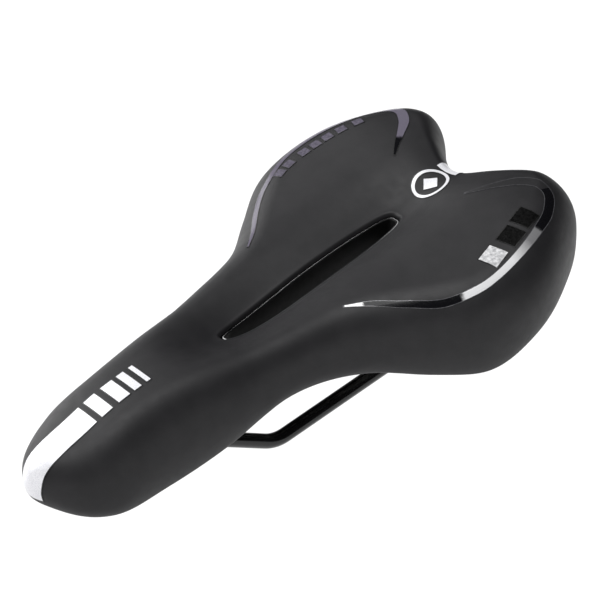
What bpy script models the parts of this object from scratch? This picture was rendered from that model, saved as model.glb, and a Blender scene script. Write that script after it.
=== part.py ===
"""Bicycle saddle: a padded cover over a moulded base on one bent 7 mm steel rail.

Everything is drawn in millimetres and scaled to metres when a mesh is made. x is the rider's
left, s runs back from the nose tip and z is up from the rail's axis. World y is s - CLAMP_S, so
the origin lies midway between the two rails, at the middle of their straight clamp section.
"""
import math
from types import SimpleNamespace

import bmesh
import bpy
import numpy as np
from mathutils import Matrix, Vector
from mathutils.bvhtree import BVHTree

MM = 0.001
CLAMP_S = 155.0          # middle of the rails' clamp section, behind the nose tip
GAP = 0.3                # clearance between pieces that touch
FOAM_GAP = 0.45          # and between the foam and the cover's facets

# Half outline seen from above, nose tip to rear notch: half width, distance behind the tip
OUTLINE = [
    (0, 0), (10, 4), (20, 11.5), (28, 26), (29.5, 52), (33, 84), (37, 118), (47, 151),
    (64.2, 174.5), (79.5, 197.3), (82, 229), (71.5, 257), (54, 280), (36.5, 282.5), (16.5, 267.2), (0, 259.8),
]
# Side profile of the top and of the hem: distance behind the tip, height above the rails
CREST = [
    (0, 52), (20, 53), (45, 59), (75, 61.5), (110, 62.5), (150, 62), (190, 63.5), (220, 67), (250, 71),
    (285, 71),
]
HEM = [
    (0, 31), (8, 25), (22, 20.9), (36, 18.9), (52, 18.1), (84, 22), (117, 31.5), (152, 27.5), (176, 20),
    (199, 16.5), (229, 22.5), (257, 25), (285, 22),
]
CROWN = 3.5              # fall of the top from its middle to its edge
ROLL_WIDTH, ROLL_DROP = 19.0, 22.0
NOSE_ROLL_WIDTH, NOSE_ROLL_DROP = 15.0, 12.5
NOTCH_ROLL_WIDTH, NOTCH_ROLL_DROP = 8.0, 19.5
NOSE_END, NOTCH_START = 0.07, 0.80       # shares of the half outline where those rolls blend in
LEAST_SKIRT = 8.0        # straight skirt left between the roll and the hem
HEM_INSET = 5.0          # how far the skirt leans in from its widest line to the hem
NOSE_HEM_INSET = 2.0

# Central slot and the valley that it lies in
SLOT_FRONT, SLOT_REAR, SLOT_HALF_WIDTH = 110.0, 218.0, 7.7
SLOT_LIP_RADIUS = 2.0
SLOT_NARROW_END = 0.80                 # width share at the front
SLOT_ROUNDNESS = (0.75, 0.58)          # power that shapes its front and rear ends, blunter when small
SLOT_CROWDING = 0.9                    # how much its points crowd towards its ends, from 0 to 1
SLOT_END_INSET = (1.8, 1.2)            # how much faster its front and rear ends move in than its sides
SLOT_FOOT = 0.6          # the cover ends this far above the underside of the base there
VALLEY = [               # depth of the valley along the middle
    (0, 0), (60, 0), (75, 0.2), (85, 1.5), (98, 6.1), (110, 10.4), (122, 12.3), (135, 12.0), (150, 10.7),
    (165, 9.5), (180, 9.0), (195, 9.3), (208, 9.9), (220, 9.8), (232, 8.3), (244, 6.9), (255, 7.8),
    (265, 9.2), (285, 9.2),
]
VALLEY_WIDTH = 18.0

# Layers
COVER = 1.2
NOSE_PADDING, PADDING, PADDING_FULL = 20.0, 27.0, 100.0      # crest to base, full from this s
BASE_THICKNESS = 3.0
NOSE_CUP, REAR_CUP, CUP_RANGE = 12.0, 26.0, (60.0, 150.0)    # width that the base rises over
RIM_LIFT = COVER + GAP   # underside of the rim above the hem
FLAP_WIDTH = 11.0        # cover turned under the rim
NOSE_FLAP_SHARE, FLAP_RANGE = 0.35, (65.0, 130.0)     # part of that width at the nose
FLAP_SLACK = 0.8
HEM_FOLD, HEM_SAG = 1.0, 0.3     # size of the chamfered fold at the hem, and how far it hangs

# Rail
RAIL_RADIUS = 3.5
RAIL_SIDES, DEGREES_PER_STEP = 16, 13
RAIL_HALF_GAUGE = 22.0
RAIL_NOSE_Z = 24.0
RAIL_NOSE_S = 42.0
RAIL_END = (32.0, 240.0, 32.0)
RAIL_BENDS = [           # corner of the centre line on the left side, bend radius
    ((9.0, RAIL_NOSE_S, RAIL_NOSE_Z), 9.0),
    ((15.0, 77.0, RAIL_NOSE_Z), 20.0),
    ((RAIL_HALF_GAUGE, 114.5, 0.0), 20.0),
    ((RAIL_HALF_GAUGE, 192.0, 0.0), 20.0),
]
RAIL_CLEARANCE = 0.35

# Rail fixing at the nose
BLOCK = SimpleNamespace(half_width=17.5, front=39.0, rear=62.0)
PLATE = SimpleNamespace(half_width=16.5, front=40.0, rear=61.0, top=20.2, bottom=18.2, corner=4.0)
SCREW_S = (50.5, 57.5)
SCREW = SimpleNamespace(radius=1.6, head_radius=3.4, head_height=1.8, rounding=0.5, tip=27.0)
CROSS = SimpleNamespace(length=3.8, width=0.9, depth=1.1)        # drive recess in the screw head
PLATE_HOLE_RADIUS = 2.1

# Ribs under the left half of the base: start x and s, end x and s, depth
RIBS = [
    ((14.5, 90), (26.5, 226), 5.0),
    ((21, 165), (31, 164), 4.0),
    ((23.3, 190), (50, 192), 4.0),
    ((37, 228), (56, 232), 4.0),
]
RIB_THICKNESS = 2.4
CENTRE_RIB, CENTRE_RIB_DEPTH = ((0, 61), (0, 102)), 4.0
SOCKET = SimpleNamespace(inner=23.5, outer=40.0, front=226, rear=247, under_rail=6.0)

ROOT_SHARE = SimpleNamespace(rib=0.55, block=0.5, socket=0.6)    # of the base's thickness, where each starts

# Collar in the slot: gap to the cover, wall and its rounded bead, flange under the base
TRIM = SimpleNamespace(gap=0.45, wall=1.3, bead=0.5, below_lip=1.5, flange=5.0, slack=0.2)

# Gel inserts under the sit bones
GEL_CENTRE, GEL_HALF_SIZE, GEL_TURN = (43.0, 216.0), (19.0, 34.0), 16.0
GEL_DEPTH = 9.0
CLEAR_OF_TOP = 120.0     # above everything: where cutting tools end and films are laid down from

# Printed and laminated films: clearance over the cover and thickness
FILM_GAP, FILM = 0.6, 0.4
# Stripes that wrap over an end: s and z of the axis, half width, angles from the rear horizontal
NOSE_STRIPE = SimpleNamespace(axis=(36.0, 36.0), half_width=6.6, angles=(90.0, 182.0), steps=24)
REAR_STRIP = SimpleNamespace(axis=(246.0, 52.0), half_width=6.2, angles=(68.0, 4.0), steps=12)
BARS = [(39.0, 45.0), (48.5, 54.7), (57.2, 61.1), (64.0, 66.2)]
BADGE_CENTRE, BADGE_HALF_SIZE = (0.0, 240.6), (8.7, 9.2)
BADGE_LINE, BADGE_DOT = 1.5, 3.2         # width of its ring, half side of the diamond inside
ARC_PATH = [             # x, s, half width
    (32.3, 154.5, 0.3), (39.2, 163.4, 0.9), (51.3, 175.2, 1.2), (63.9, 189.1, 1.3), (70.0, 203.9, 1.4),
    (70.8, 213.7, 1.4), (70.2, 222.8, 1.5), (65.8, 243.4, 1.7), (59.8, 257.0, 1.9), (51.5, 264.9, 2.2),
    (45.3, 265.3, 2.5), (39.7, 262.2, 2.6), (32.0, 252.7, 1.7), (27.6, 246.0, 1.0), (23.2, 240.0, 0.3),
]
RIGHT_ARC_INWARD = SimpleNamespace(most=3.3, s=195.0, reach=16.0)       # it lies further in than the left one
BLOCK_CENTRES = [(62.4, 218.6), (60.2, 232.4), (57.0, 244.4)]
BLOCK_SIZE, BLOCK_TURN = (9.5, 9.6), 12.0
DASHES_S = (200.5, 207.5, 217.5, 224.5, 231.5, 239.0, 247.5)     # in a row inside the right arc
DASH_INSET, DASH_SIZE = 7.6, (4.6, 5.0)

STAPLES_PER_SIDE = 12
STAPLE_SIZE = (8.0, 1.3, 0.6)
STAPLE_INSET, STAPLE_GAP = 6.0, 1.0      # in from the base's edge, clear of the turned-under cover

STATIONS = 25            # stations along one half of the outline
LIP_STEPS, TOP_STEPS, ROLL_STEPS, BASE_STEPS = 2, 4, 4, 3
FLAP_STEPS = (0.0, 0.3, 0.65, 1.0)      # shares of the flap's width with a ring


# ---------------------------------------------------------------- curves and heights

def ramp(value, start, end):
    """0 before start, 1 after end and a smooth rise between them."""
    t = np.clip((value - start) / (end - start), 0, 1)
    return t * t * (3 - 2 * t)


def spline(knots, points, where):
    """Smooth curve through points at knots, read at where."""
    step = np.diff(knots)[:, None]
    slope = np.diff(points, axis=0) / step
    tangent = np.concatenate([slope[:1], slope, slope[-1:]])[:-1]
    tangent[1:-1] = (slope[:-1] * step[1:] + slope[1:] * step[:-1]) / (step[1:] + step[:-1])
    tangent[-1] = slope[-1]
    i = np.clip(np.searchsorted(knots, where, side="right") - 1, 0, len(knots) - 2)
    h = step[i]
    u = (where - knots[i])[:, None] / h
    return ((2 * u**3 - 3 * u**2 + 1) * points[i] + (u**3 - 2 * u**2 + u) * tangent[i] * h
            + (3 * u**2 - 2 * u**3) * points[i + 1] + (u**3 - u**2) * tangent[i + 1] * h)


def profile(pairs, where):
    """Height of a profile given as (distance, height) pairs."""
    table = np.array(pairs, float)
    flat = np.clip(np.ravel(where), table[0, 0], table[-1, 0])
    return spline(table[:, 0], table[:, 1:], flat)[:, 0].reshape(np.shape(where))


def half_outline(count):
    """Evenly spaced points of the half outline, nose tip to notch."""
    points = np.array(OUTLINE, float)
    mirror = np.array([-1.0, 1.0])
    points = np.concatenate([points[1:2] * mirror, points, points[-2:-1] * mirror])
    knots = np.concatenate([[0], np.cumsum(np.linalg.norm(np.diff(points, axis=0), axis=1) ** 0.6)])
    dense = np.linspace(knots[1], knots[-2], 800)
    track = spline(knots, points, dense)
    length = np.concatenate([[0], np.cumsum(np.linalg.norm(np.diff(track, axis=0), axis=1))])
    return spline(knots, points, np.interp(np.linspace(0, length[-1], count), length, dense))


FINE_OUTLINE = half_outline(400)
WIDEST = int(np.argmax(FINE_OUTLINE[:, 0]))


def half_width(s):
    return np.interp(s, FINE_OUTLINE[:WIDEST + 1, 1], FINE_OUTLINE[:WIDEST + 1, 0])


def top_height(x, s):
    """Top of the cover inside the rolled edge."""
    across = np.clip(np.abs(x) / np.maximum(half_width(s), 8), 0, 1.3)
    valley = profile(VALLEY, s) * np.exp(-(x / VALLEY_WIDTH) ** 2)
    return profile(CREST, s) - CROWN * across**2 - valley


def base_top(x, s):
    """Top of the base: a plateau that falls to the rim in a cup shape."""
    x, s = np.broadcast_arrays(np.asarray(x, float), np.asarray(s, float))
    away = np.hypot(np.abs(x)[..., None] - BASE_EDGE[:, 0], s[..., None] - BASE_EDGE[:, 1])
    nearest = away.argmin(axis=-1)
    cup = NOSE_CUP + (REAR_CUP - NOSE_CUP) * ramp(s, *CUP_RANGE)
    closeness = 1 - np.clip(away.min(axis=-1) / cup, 0, 1)
    plateau = profile(CREST, s) - NOSE_PADDING - (PADDING - NOSE_PADDING) * ramp(s, 0, PADDING_FULL)
    rim = profile(HEM, FINE_EDGE.track[nearest, 1]) + RIM_LIFT + BASE_THICKNESS
    return plateau - (plateau - rim) * closeness**2


def flap_height(plan, inward):
    """Underside of the cover where it is turned under the base, clear of it on slopes too."""
    ahead, beside = plan + inward, plan + inward[:, ::-1] * np.array([1, -1])
    level = base_top(plan[:, 0], plan[:, 1])
    slope = base_top(ahead[:, 0], ahead[:, 1]) - level
    tilt = base_top(beside[:, 0], beside[:, 1]) - level
    drop = (GAP + COVER + FLAP_SLACK) * np.sqrt(1 + slope**2 + tilt**2)
    return level - BASE_THICKNESS - drop


def unit(vectors):
    return vectors / np.linalg.norm(vectors, axis=-1, keepdims=True)


def left_normal(track):
    """Plan normals of a half track whose two ends cross the centre line squarely."""
    tangent = np.gradient(track, axis=0)
    tangent[0] = (1, 0)
    tangent[-1] = (-1, 0)
    tangent = unit(tangent)
    return np.stack([-tangent[:, 1], tangent[:, 0]], axis=1)


def half_slot(count, inset=0.0):
    """Half outline of the slot, pointed at the front and blunt at the rear."""
    share = np.linspace(0, 1, count)
    angle = math.pi * ((1 - SLOT_CROWDING) * share + SLOT_CROWDING * ramp(share, 0, 1))
    along = (1 - np.cos(angle)) / 2
    widening = SLOT_NARROW_END + (1 - SLOT_NARROW_END) * along
    power = SLOT_ROUNDNESS[0] + (SLOT_ROUNDNESS[1] - SLOT_ROUNDNESS[0]) * along
    width = (SLOT_HALF_WIDTH - inset) * np.sin(angle) ** power * widening
    front, rear = SLOT_FRONT + SLOT_END_INSET[0] * inset, SLOT_REAR - SLOT_END_INSET[1] * inset
    return np.stack([width, front + (rear - front) * along], axis=1)


def edge_frame(count):
    """Outline stations with their inward normal and the shape of the rolled edge there."""
    track = half_outline(count)
    place = np.linspace(0, 1, count)
    nose = 1 - ramp(place, 0.0, NOSE_END)
    notch = ramp(place, NOTCH_START, 1.0)
    hem = profile(HEM, track[:, 1])
    drop = ROLL_DROP + (NOSE_ROLL_DROP - ROLL_DROP) * nose + (NOTCH_ROLL_DROP - ROLL_DROP) * notch
    return SimpleNamespace(
        track=track,
        inward=left_normal(track),
        width=ROLL_WIDTH + (NOSE_ROLL_WIDTH - ROLL_WIDTH) * nose + (NOTCH_ROLL_WIDTH - ROLL_WIDTH) * notch,
        drop=np.minimum(drop, top_height(track[:, 0], track[:, 1]) - hem - LEAST_SKIRT),
        hem=hem,
        lean=HEM_INSET + (NOSE_HEM_INSET - HEM_INSET) * nose,
    )


EDGE = edge_frame(STATIONS)
FINE_EDGE = edge_frame(400)
BASE_INSET = COVER + 2 * GAP
BASE_EDGE = FINE_EDGE.track + FINE_EDGE.inward * (FINE_EDGE.lean + BASE_INSET)[:, None]


# ---------------------------------------------------------------- rows of points round the saddle

def row(plan, height):
    """One closed ring of points from its left half."""
    plan = plan.copy()
    plan[:, 0] = np.maximum(plan[:, 0], 0)
    half = np.column_stack([plan, height])
    half[[0, -1], 0] = 0
    return np.concatenate([half, half[-2:0:-1] * np.array([-1, 1, 1])])


def inset_track(distance):
    """The outline moved inward, measured from the widest line of the skirt."""
    return EDGE.track + EDGE.inward * np.broadcast_to(distance, EDGE.lean.shape)[:, None]


def slot_wall_rows():
    slot = half_slot(STATIONS)
    outward = -left_normal(slot)
    inner = slot + outward * SLOT_LIP_RADIUS
    lip = top_height(inner[:, 0], inner[:, 1])
    hole = slot + outward * (COVER + GAP)
    rows = [row(slot, base_top(hole[:, 0], hole[:, 1]) - BASE_THICKNESS + SLOT_FOOT)]
    for i in range(LIP_STEPS):
        angle = math.pi / 2 * i / LIP_STEPS
        plan = slot + outward * SLOT_LIP_RADIUS * (1 - math.cos(angle))
        rows.append(row(plan, lip - SLOT_LIP_RADIUS * (1 - math.sin(angle))))
    return rows, inner


def top_rows(inner):
    rolled = inset_track(EDGE.width)
    rows = []
    for i in range(TOP_STEPS):
        plan = inner + (rolled - inner) * i / TOP_STEPS
        rows.append(row(plan, top_height(plan[:, 0], plan[:, 1])))
    return rows


def roll_rows():
    rows = []
    for i in range(ROLL_STEPS + 1):
        angle = math.pi / 2 * i / ROLL_STEPS
        plan = inset_track(EDGE.width * (1 - math.sin(angle)))
        height = top_height(plan[:, 0], plan[:, 1]) - EDGE.drop * (1 - math.cos(angle))
        rows.append(row(plan, height))
    return rows


def skirt_row(height):
    """Ring on the skirt at a height above the hem, leaning in towards the hem."""
    widest = top_height(EDGE.track[:, 0], EDGE.track[:, 1]) - EDGE.drop
    fall = np.clip((widest - EDGE.hem - height) / (widest - EDGE.hem), 0, 1)
    lean = EDGE.lean * (1 - np.sqrt(1 - fall**2))
    return row(inset_track(lean), EDGE.hem + height)


PADDING_FOOT = RIM_LIFT + BASE_THICKNESS + 2.0      # the foam ends this far above the hem


def skin_rows():
    """The outer skin from the foot of the slot to the hem."""
    wall, inner = slot_wall_rows()
    return wall + top_rows(inner) + roll_rows() + [skirt_row(PADDING_FOOT)]


def flap_share(s):
    """Part of the full flap width that there is room for."""
    return NOSE_FLAP_SHARE + (1 - NOSE_FLAP_SHARE) * ramp(s, *FLAP_RANGE)


def flap_insets():
    """Distances inward from the rim at which base, foam and flap have a ring in common."""
    width = FLAP_WIDTH * flap_share(EDGE.track[:, 1])
    return [width * share for share in FLAP_STEPS]


def base_rows(lift):
    """Rings on the top of the base from its rim to the slot, raised by lift."""
    rows = []
    for distance in flap_insets():
        plan = inset_track(EDGE.lean + BASE_INSET + distance)
        rows.append(row(plan, base_top(plan[:, 0], plan[:, 1]) + lift))
    slot = half_slot(STATIONS)
    hole = slot - left_normal(slot) * (COVER + GAP)
    for i in range(1, BASE_STEPS + 1):
        step = plan + (hole - plan) * i / BASE_STEPS
        rows.append(row(step, base_top(step[:, 0], step[:, 1]) + lift))
    return rows


def moved_in(rows, distance):
    """Rings moved along the skin's normal towards its inner side."""
    points = np.stack(rows)
    around = np.roll(points, -1, axis=1) - np.roll(points, 1, axis=1)
    normal = unit(np.cross(np.gradient(points, axis=0), around))
    if normal[LIP_STEPS + 2, :, 2].mean() < 0:
        normal = -normal
    return list(points - normal * distance)


# ---------------------------------------------------------------- meshes and objects

def clear_scene():
    for old in list(bpy.data.objects):
        bpy.data.objects.remove(old, do_unlink=True)


def material(name, colour, roughness, metallic=0.0):
    made = bpy.data.materials.new(name)
    made.use_nodes = True
    shader = made.node_tree.nodes["Principled BSDF"]
    shader.inputs["Base Color"].default_value = (*colour, 1.0)
    shader.inputs["Roughness"].default_value = roughness
    shader.inputs["Metallic"].default_value = metallic
    return made


def world(points):
    """Drawing millimetres to world metres."""
    return [Vector((x * MM, (s - CLAMP_S) * MM, z * MM)) for x, s, z in points]


def grid_faces(rows, columns, closed_section):
    """Quads between rings of points, optionally closing the last ring onto the first."""
    faces = []
    for i in range(rows if closed_section else rows - 1):
        a, b = i * columns, (i + 1) % rows * columns
        for j in range(columns):
            k = (j + 1) % columns
            faces.append((a + j, b + j, b + k, a + k))
    return faces


def add_object(name, points, faces, look, smooth_degrees=50, closed=True):
    mesh = bpy.data.meshes.new(name)
    mesh.from_pydata(world(points), [], faces)
    shape = bmesh.new()
    shape.from_mesh(mesh)
    if closed:
        bmesh.ops.recalc_face_normals(shape, faces=shape.faces)
    bent = [face for face in shape.faces if len(face.verts) == 4]
    bmesh.ops.triangulate(shape, faces=bent)
    shape.to_mesh(mesh)
    shape.free()
    mesh.shade_smooth()
    mesh.set_sharp_from_angle(angle=math.radians(smooth_degrees))
    made = bpy.data.objects.new(name, mesh)
    bpy.context.scene.collection.objects.link(made)
    made.parent = FRAME
    if look:
        mesh.materials.append(look)
    return made


def add_rings(name, rows, look, closed_section=True):
    points = np.concatenate(rows)
    faces = grid_faces(len(rows), len(rows[0]), closed_section)
    return add_object(name, points, faces, look, closed=closed_section)


def add_slab(name, lower, upper, look):
    """Closed plate between two equal grids of points, shaped (along, across, 3)."""
    along, across = lower.shape[:2]
    count = along * across
    faces = []
    for i in range(along - 1):
        for j in range(across - 1):
            quad = [i * across + j, i * across + j + 1, (i + 1) * across + j + 1, (i + 1) * across + j]
            faces.append(quad)
            faces.append([count + k for k in reversed(quad)])
    edge = list(range(across))
    edge += [i * across + across - 1 for i in range(1, along)]
    edge += [(along - 1) * across + j for j in range(across - 2, -1, -1)]
    edge += [i * across for i in range(along - 2, 0, -1)]
    for a, b in zip(edge, edge[1:] + edge[:1]):
        faces.append([a, b, b + count, a + count])
    points = np.concatenate([lower.reshape(-1, 3), upper.reshape(-1, 3)])
    return add_object(name, points, faces, look)


def add_prism(name, outline, bottom, top, look=None):
    """Straight prism over a plan outline, with flat ends at two heights."""
    count = len(outline)
    points = [(x, s, bottom) for x, s in outline] + [(x, s, top) for x, s in outline]
    faces = [list(range(count)), list(range(count, 2 * count))]
    faces += [[i, (i + 1) % count, (i + 1) % count + count, i + count] for i in range(count)]
    return add_object(name, points, faces, look)


def hide(helper):
    helper.hide_render = True
    helper.display_type = "WIRE"
    return helper


def boolean(target, helper, operation):
    step = target.modifiers.new(helper.name, "BOOLEAN")
    step.object = hide(helper)
    step.operation = operation


def circle(centre, radius, count):
    turns = [2 * math.pi * i / count for i in range(count)]
    return [(centre[0] + radius * math.cos(t), centre[1] + radius * math.sin(t)) for t in turns]


# ---------------------------------------------------------------- cover, foam and gel

def make_cover(look):
    """Moulded skin: down the slot, over the padding, and turned under the base's rim."""
    fold = inset_track(EDGE.lean + HEM_FOLD)
    rows = skin_rows() + [skirt_row(HEM_FOLD), row(fold, EDGE.hem - HEM_SAG)]
    for distance in flap_insets()[1:]:
        plan = inset_track(EDGE.lean + BASE_INSET + distance)
        rows.append(row(plan, flap_height(plan, EDGE.inward)))
    cover = add_rings("cover", rows, look, closed_section=False)
    solid = cover.modifiers.new("thickness", "SOLIDIFY")
    solid.thickness = COVER * MM
    solid.offset = -1
    solid.use_even_offset = True
    return cover, rows


def foam_rows():
    skin = moved_in(skin_rows(), COVER + FOAM_GAP)
    return skin[1:] + base_rows(GAP)


def gel_bay(side, grow):
    """Plan outline of a gel insert, turned a little outward to the rear."""
    turn = math.radians(GEL_TURN)
    outline = []
    for a, b in circle((0, 0), 1.0, 24):
        a, b = a * (GEL_HALF_SIZE[0] + grow), b * (GEL_HALF_SIZE[1] + grow)
        x = GEL_CENTRE[0] + a * math.cos(turn) + b * math.sin(turn)
        s = GEL_CENTRE[1] - a * math.sin(turn) + b * math.cos(turn)
        outline.append((side * x, s))
    return outline


def make_padding(foam_look, gel_look):
    rows = foam_rows()
    foam = add_rings("foam_pad", rows, foam_look)
    floor = top_height(*GEL_CENTRE) - COVER - FOAM_GAP - GEL_DEPTH
    for side, label in ((1, "left"), (-1, "right")):
        gel = add_rings(f"gel_insert_{label}", rows, gel_look)
        inside = add_prism(f"gel_bay_{label}", gel_bay(side, 0), floor, CLEAR_OF_TOP)
        boolean(gel, inside, "INTERSECT")
        bay = add_prism(f"foam_bay_{label}", gel_bay(side, GAP), floor - GAP, CLEAR_OF_TOP + GAP)
        boolean(foam, bay, "DIFFERENCE")


# ---------------------------------------------------------------- rail

def fillet_path(corners, radii):
    """Centre line through corners with round bends."""
    path = [corners[0]]
    for i in range(1, len(corners) - 1):
        corner = corners[i]
        before = (corners[i - 1] - corner).normalized()
        after = (corners[i + 1] - corner).normalized()
        half = before.angle(after) / 2
        reach = radii[i] / math.tan(half)
        centre = corner + (before + after).normalized() * radii[i] / math.sin(half)
        start = corner + before * reach - centre
        end = corner + after * reach - centre
        steps = max(2, round(math.degrees(math.pi - 2 * half) / DEGREES_PER_STEP))
        for k in range(steps + 1):
            path.append(centre + start.normalized().slerp(end.normalized(), k / steps) * radii[i])
    path.append(corners[-1])
    return path


def rail_path(end_extra=0.0):
    corners = [Vector(corner) for corner, _ in RAIL_BENDS]
    radii = [radius for _, radius in RAIL_BENDS]
    end = Vector(RAIL_END)
    corners.append(end + (end - corners[-1]).normalized() * end_extra)
    flip = Matrix.Diagonal((-1, 1, 1))
    full = [flip @ corner for corner in reversed(corners)] + corners
    return fillet_path(full, [0, *reversed(radii), *radii, 0])


def add_tube(name, path, radius, sides, look=None):
    """Round bar along a path, with one flat facet straight down where the path is level."""
    points = []
    for i, centre in enumerate(path):
        ahead = (path[min(i + 1, len(path) - 1)] - path[max(i - 1, 0)]).normalized()
        across = ahead.cross(Vector((0, 0, 1))).normalized()
        upward = across.cross(ahead)
        for k in range(sides):
            angle = 2 * math.pi * (k + 0.5) / sides
            points.append(centre + across * radius * math.sin(angle) + upward * radius * math.cos(angle))
    faces = grid_faces(len(path), sides, False)
    faces += [list(range(sides)), list(range(len(points) - sides, len(points)))]
    return add_object(name, points, faces, look)


# ---------------------------------------------------------------- base

def base_solid(look):
    top = base_rows(0.0)
    bottom = base_rows(-BASE_THICKNESS)
    return add_rings("base_shell", top + bottom[::-1], look)


def add_web(name, plan, depth=None, bottom=None, root_share=ROOT_SHARE.rib):
    """Body hanging from inside the base: plan is a grid (along, across, 2)."""
    x, s = plan[..., 0], plan[..., 1]
    root = base_top(x, s) - BASE_THICKNESS * root_share
    foot = base_top(x, s) - BASE_THICKNESS - depth if bottom is None else bottom(x, s)
    return add_slab(name, np.stack([x, s, foot], axis=-1), np.stack([x, s, root], axis=-1), None)


def strip_plan(start, end, thickness, steps):
    """Plan grid of a straight rib between two points."""
    start, end = np.array(start, float), np.array(end, float)
    along = unit(end - start)
    side = np.array([along[1], -along[0]]) * thickness / 2
    centre = start + (end - start) * np.linspace(0, 1, steps + 1)[:, None]
    return np.stack([centre - side, centre + side], axis=1)


def block_plan(x_range, s_range, steps):
    x = np.linspace(*x_range, steps[0] + 1)
    s = np.linspace(*s_range, steps[1] + 1)
    return np.stack(np.meshgrid(x, s), axis=-1)


def rail_height(s):
    """Centre height of the rail's rear leg."""
    corner = RAIL_BENDS[-1][0]
    return (s - corner[1]) * (RAIL_END[2] - corner[2]) / (RAIL_END[1] - corner[1])


def make_base(look):
    """Moulded base with a nose block, rear sockets, ribs and channels for the rail."""
    base = base_solid(look)
    nose = block_plan((-BLOCK.half_width, BLOCK.half_width), (BLOCK.front, BLOCK.rear), (4, 3))
    foot = PLATE.top + GAP
    block = add_web("nose_block", nose, bottom=lambda x, s: np.full_like(x, foot),
                    root_share=ROOT_SHARE.block)
    boolean(base, block, "UNION")
    for side, label in ((1, "left"), (-1, "right")):
        sides = sorted((side * SOCKET.inner, side * SOCKET.outer))
        socket = block_plan(sides, (SOCKET.front, SOCKET.rear), (3, 3))
        hang = add_web(f"socket_{label}", socket, bottom=lambda x, s: rail_height(s) - SOCKET.under_rail,
                       root_share=ROOT_SHARE.socket)
        boolean(base, hang, "UNION")
        for i, (start, end, depth) in enumerate(RIBS):
            plan = strip_plan((side * start[0], start[1]), (side * end[0], end[1]), RIB_THICKNESS, 8)
            boolean(base, add_web(f"rib_{label}_{i}", plan, depth=depth), "UNION")
    centre_rib = strip_plan(*CENTRE_RIB, RIB_THICKNESS, 4)
    boolean(base, add_web("rib_centre", centre_rib, depth=CENTRE_RIB_DEPTH), "UNION")
    channel = add_tube("rail_channel", rail_path(1.0), RAIL_RADIUS + RAIL_CLEARANCE, 12)
    boolean(base, channel, "DIFFERENCE")
    for i, s in enumerate(SCREW_S):
        outline = circle((0, s), SCREW.radius + GAP, 12)
        pilot = add_prism(f"pilot_{i}", outline, PLATE.bottom, SCREW.tip + GAP)
        boolean(base, pilot, "DIFFERENCE")


# ---------------------------------------------------------------- small parts

def make_slot_trim(look):
    """Collar that lines the slot, with a flange under the base."""
    slot = half_slot(STATIONS)
    outward = -left_normal(slot)
    outer = half_slot(STATIONS, TRIM.gap)
    inner = half_slot(STATIONS, TRIM.gap + TRIM.wall)
    flange = slot + outward * TRIM.flange
    lip_plan = slot + outward * SLOT_LIP_RADIUS
    lip = top_height(lip_plan[:, 0], lip_plan[:, 1]) - TRIM.below_lip
    under = base_top(flange[:, 0], flange[:, 1]) - BASE_THICKNESS - GAP - TRIM.slack
    foot = under - TRIM.wall
    rows = [
        row(inner, lip - TRIM.bead), row((inner + outer) / 2, lip), row(outer, lip - TRIM.bead),
        row(outer, under), row(flange, under), row(flange, foot), row(inner, foot),
    ]
    add_rings("slot_trim", rows, look)


def rounded_rectangle(half_x, front, rear, corner):
    outline = []
    centres = [(half_x - corner, rear - corner), (corner - half_x, rear - corner),
               (corner - half_x, front + corner), (half_x - corner, front + corner)]
    for quarter, centre in enumerate(centres):
        for k in range(4):
            turn = math.pi / 2 * (quarter + k / 3)
            outline.append((centre[0] + corner * math.cos(turn), centre[1] + corner * math.sin(turn)))
    return outline


def make_nose_fixing(plate_look, screw_look):
    outline = rounded_rectangle(PLATE.half_width, PLATE.front, PLATE.rear, PLATE.corner)
    plate = add_prism("nose_clamp_plate", outline, PLATE.bottom, PLATE.top, plate_look)
    seat = PLATE.bottom - GAP
    for s, label in zip(SCREW_S, ("front", "rear")):
        outline = circle((0, s), PLATE_HOLE_RADIUS, 16)
        hole = add_prism(f"plate_hole_{label}", outline, PLATE.bottom - 1, PLATE.top + 1)
        boolean(plate, hole, "DIFFERENCE")
        shank = circle((0, s), SCREW.radius, 12)
        screw = add_prism(f"nose_screw_{label}", shank, seat - SCREW.head_height / 2, SCREW.tip, screw_look)
        crown = circle((0, s), SCREW.head_radius, 20)
        head = add_prism(f"head_{label}", crown, seat - SCREW.head_height, seat)
        bevel = head.modifiers.new("rounding", "BEVEL")
        bevel.width = SCREW.rounding * MM
        bevel.segments = 2
        boolean(screw, head, "UNION")
        for arm, (dx, ds) in enumerate(((CROSS.length, CROSS.width), (CROSS.width, CROSS.length))):
            x, y = dx / 2, ds / 2
            outline = [(x, s + y), (-x, s + y), (-x, s - y), (x, s - y)]
            bottom = seat - SCREW.head_height
            cut = add_prism(f"cross_{label}_{arm}", outline, bottom - 1, bottom + CROSS.depth)
            boolean(screw, cut, "DIFFERENCE")


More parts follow.
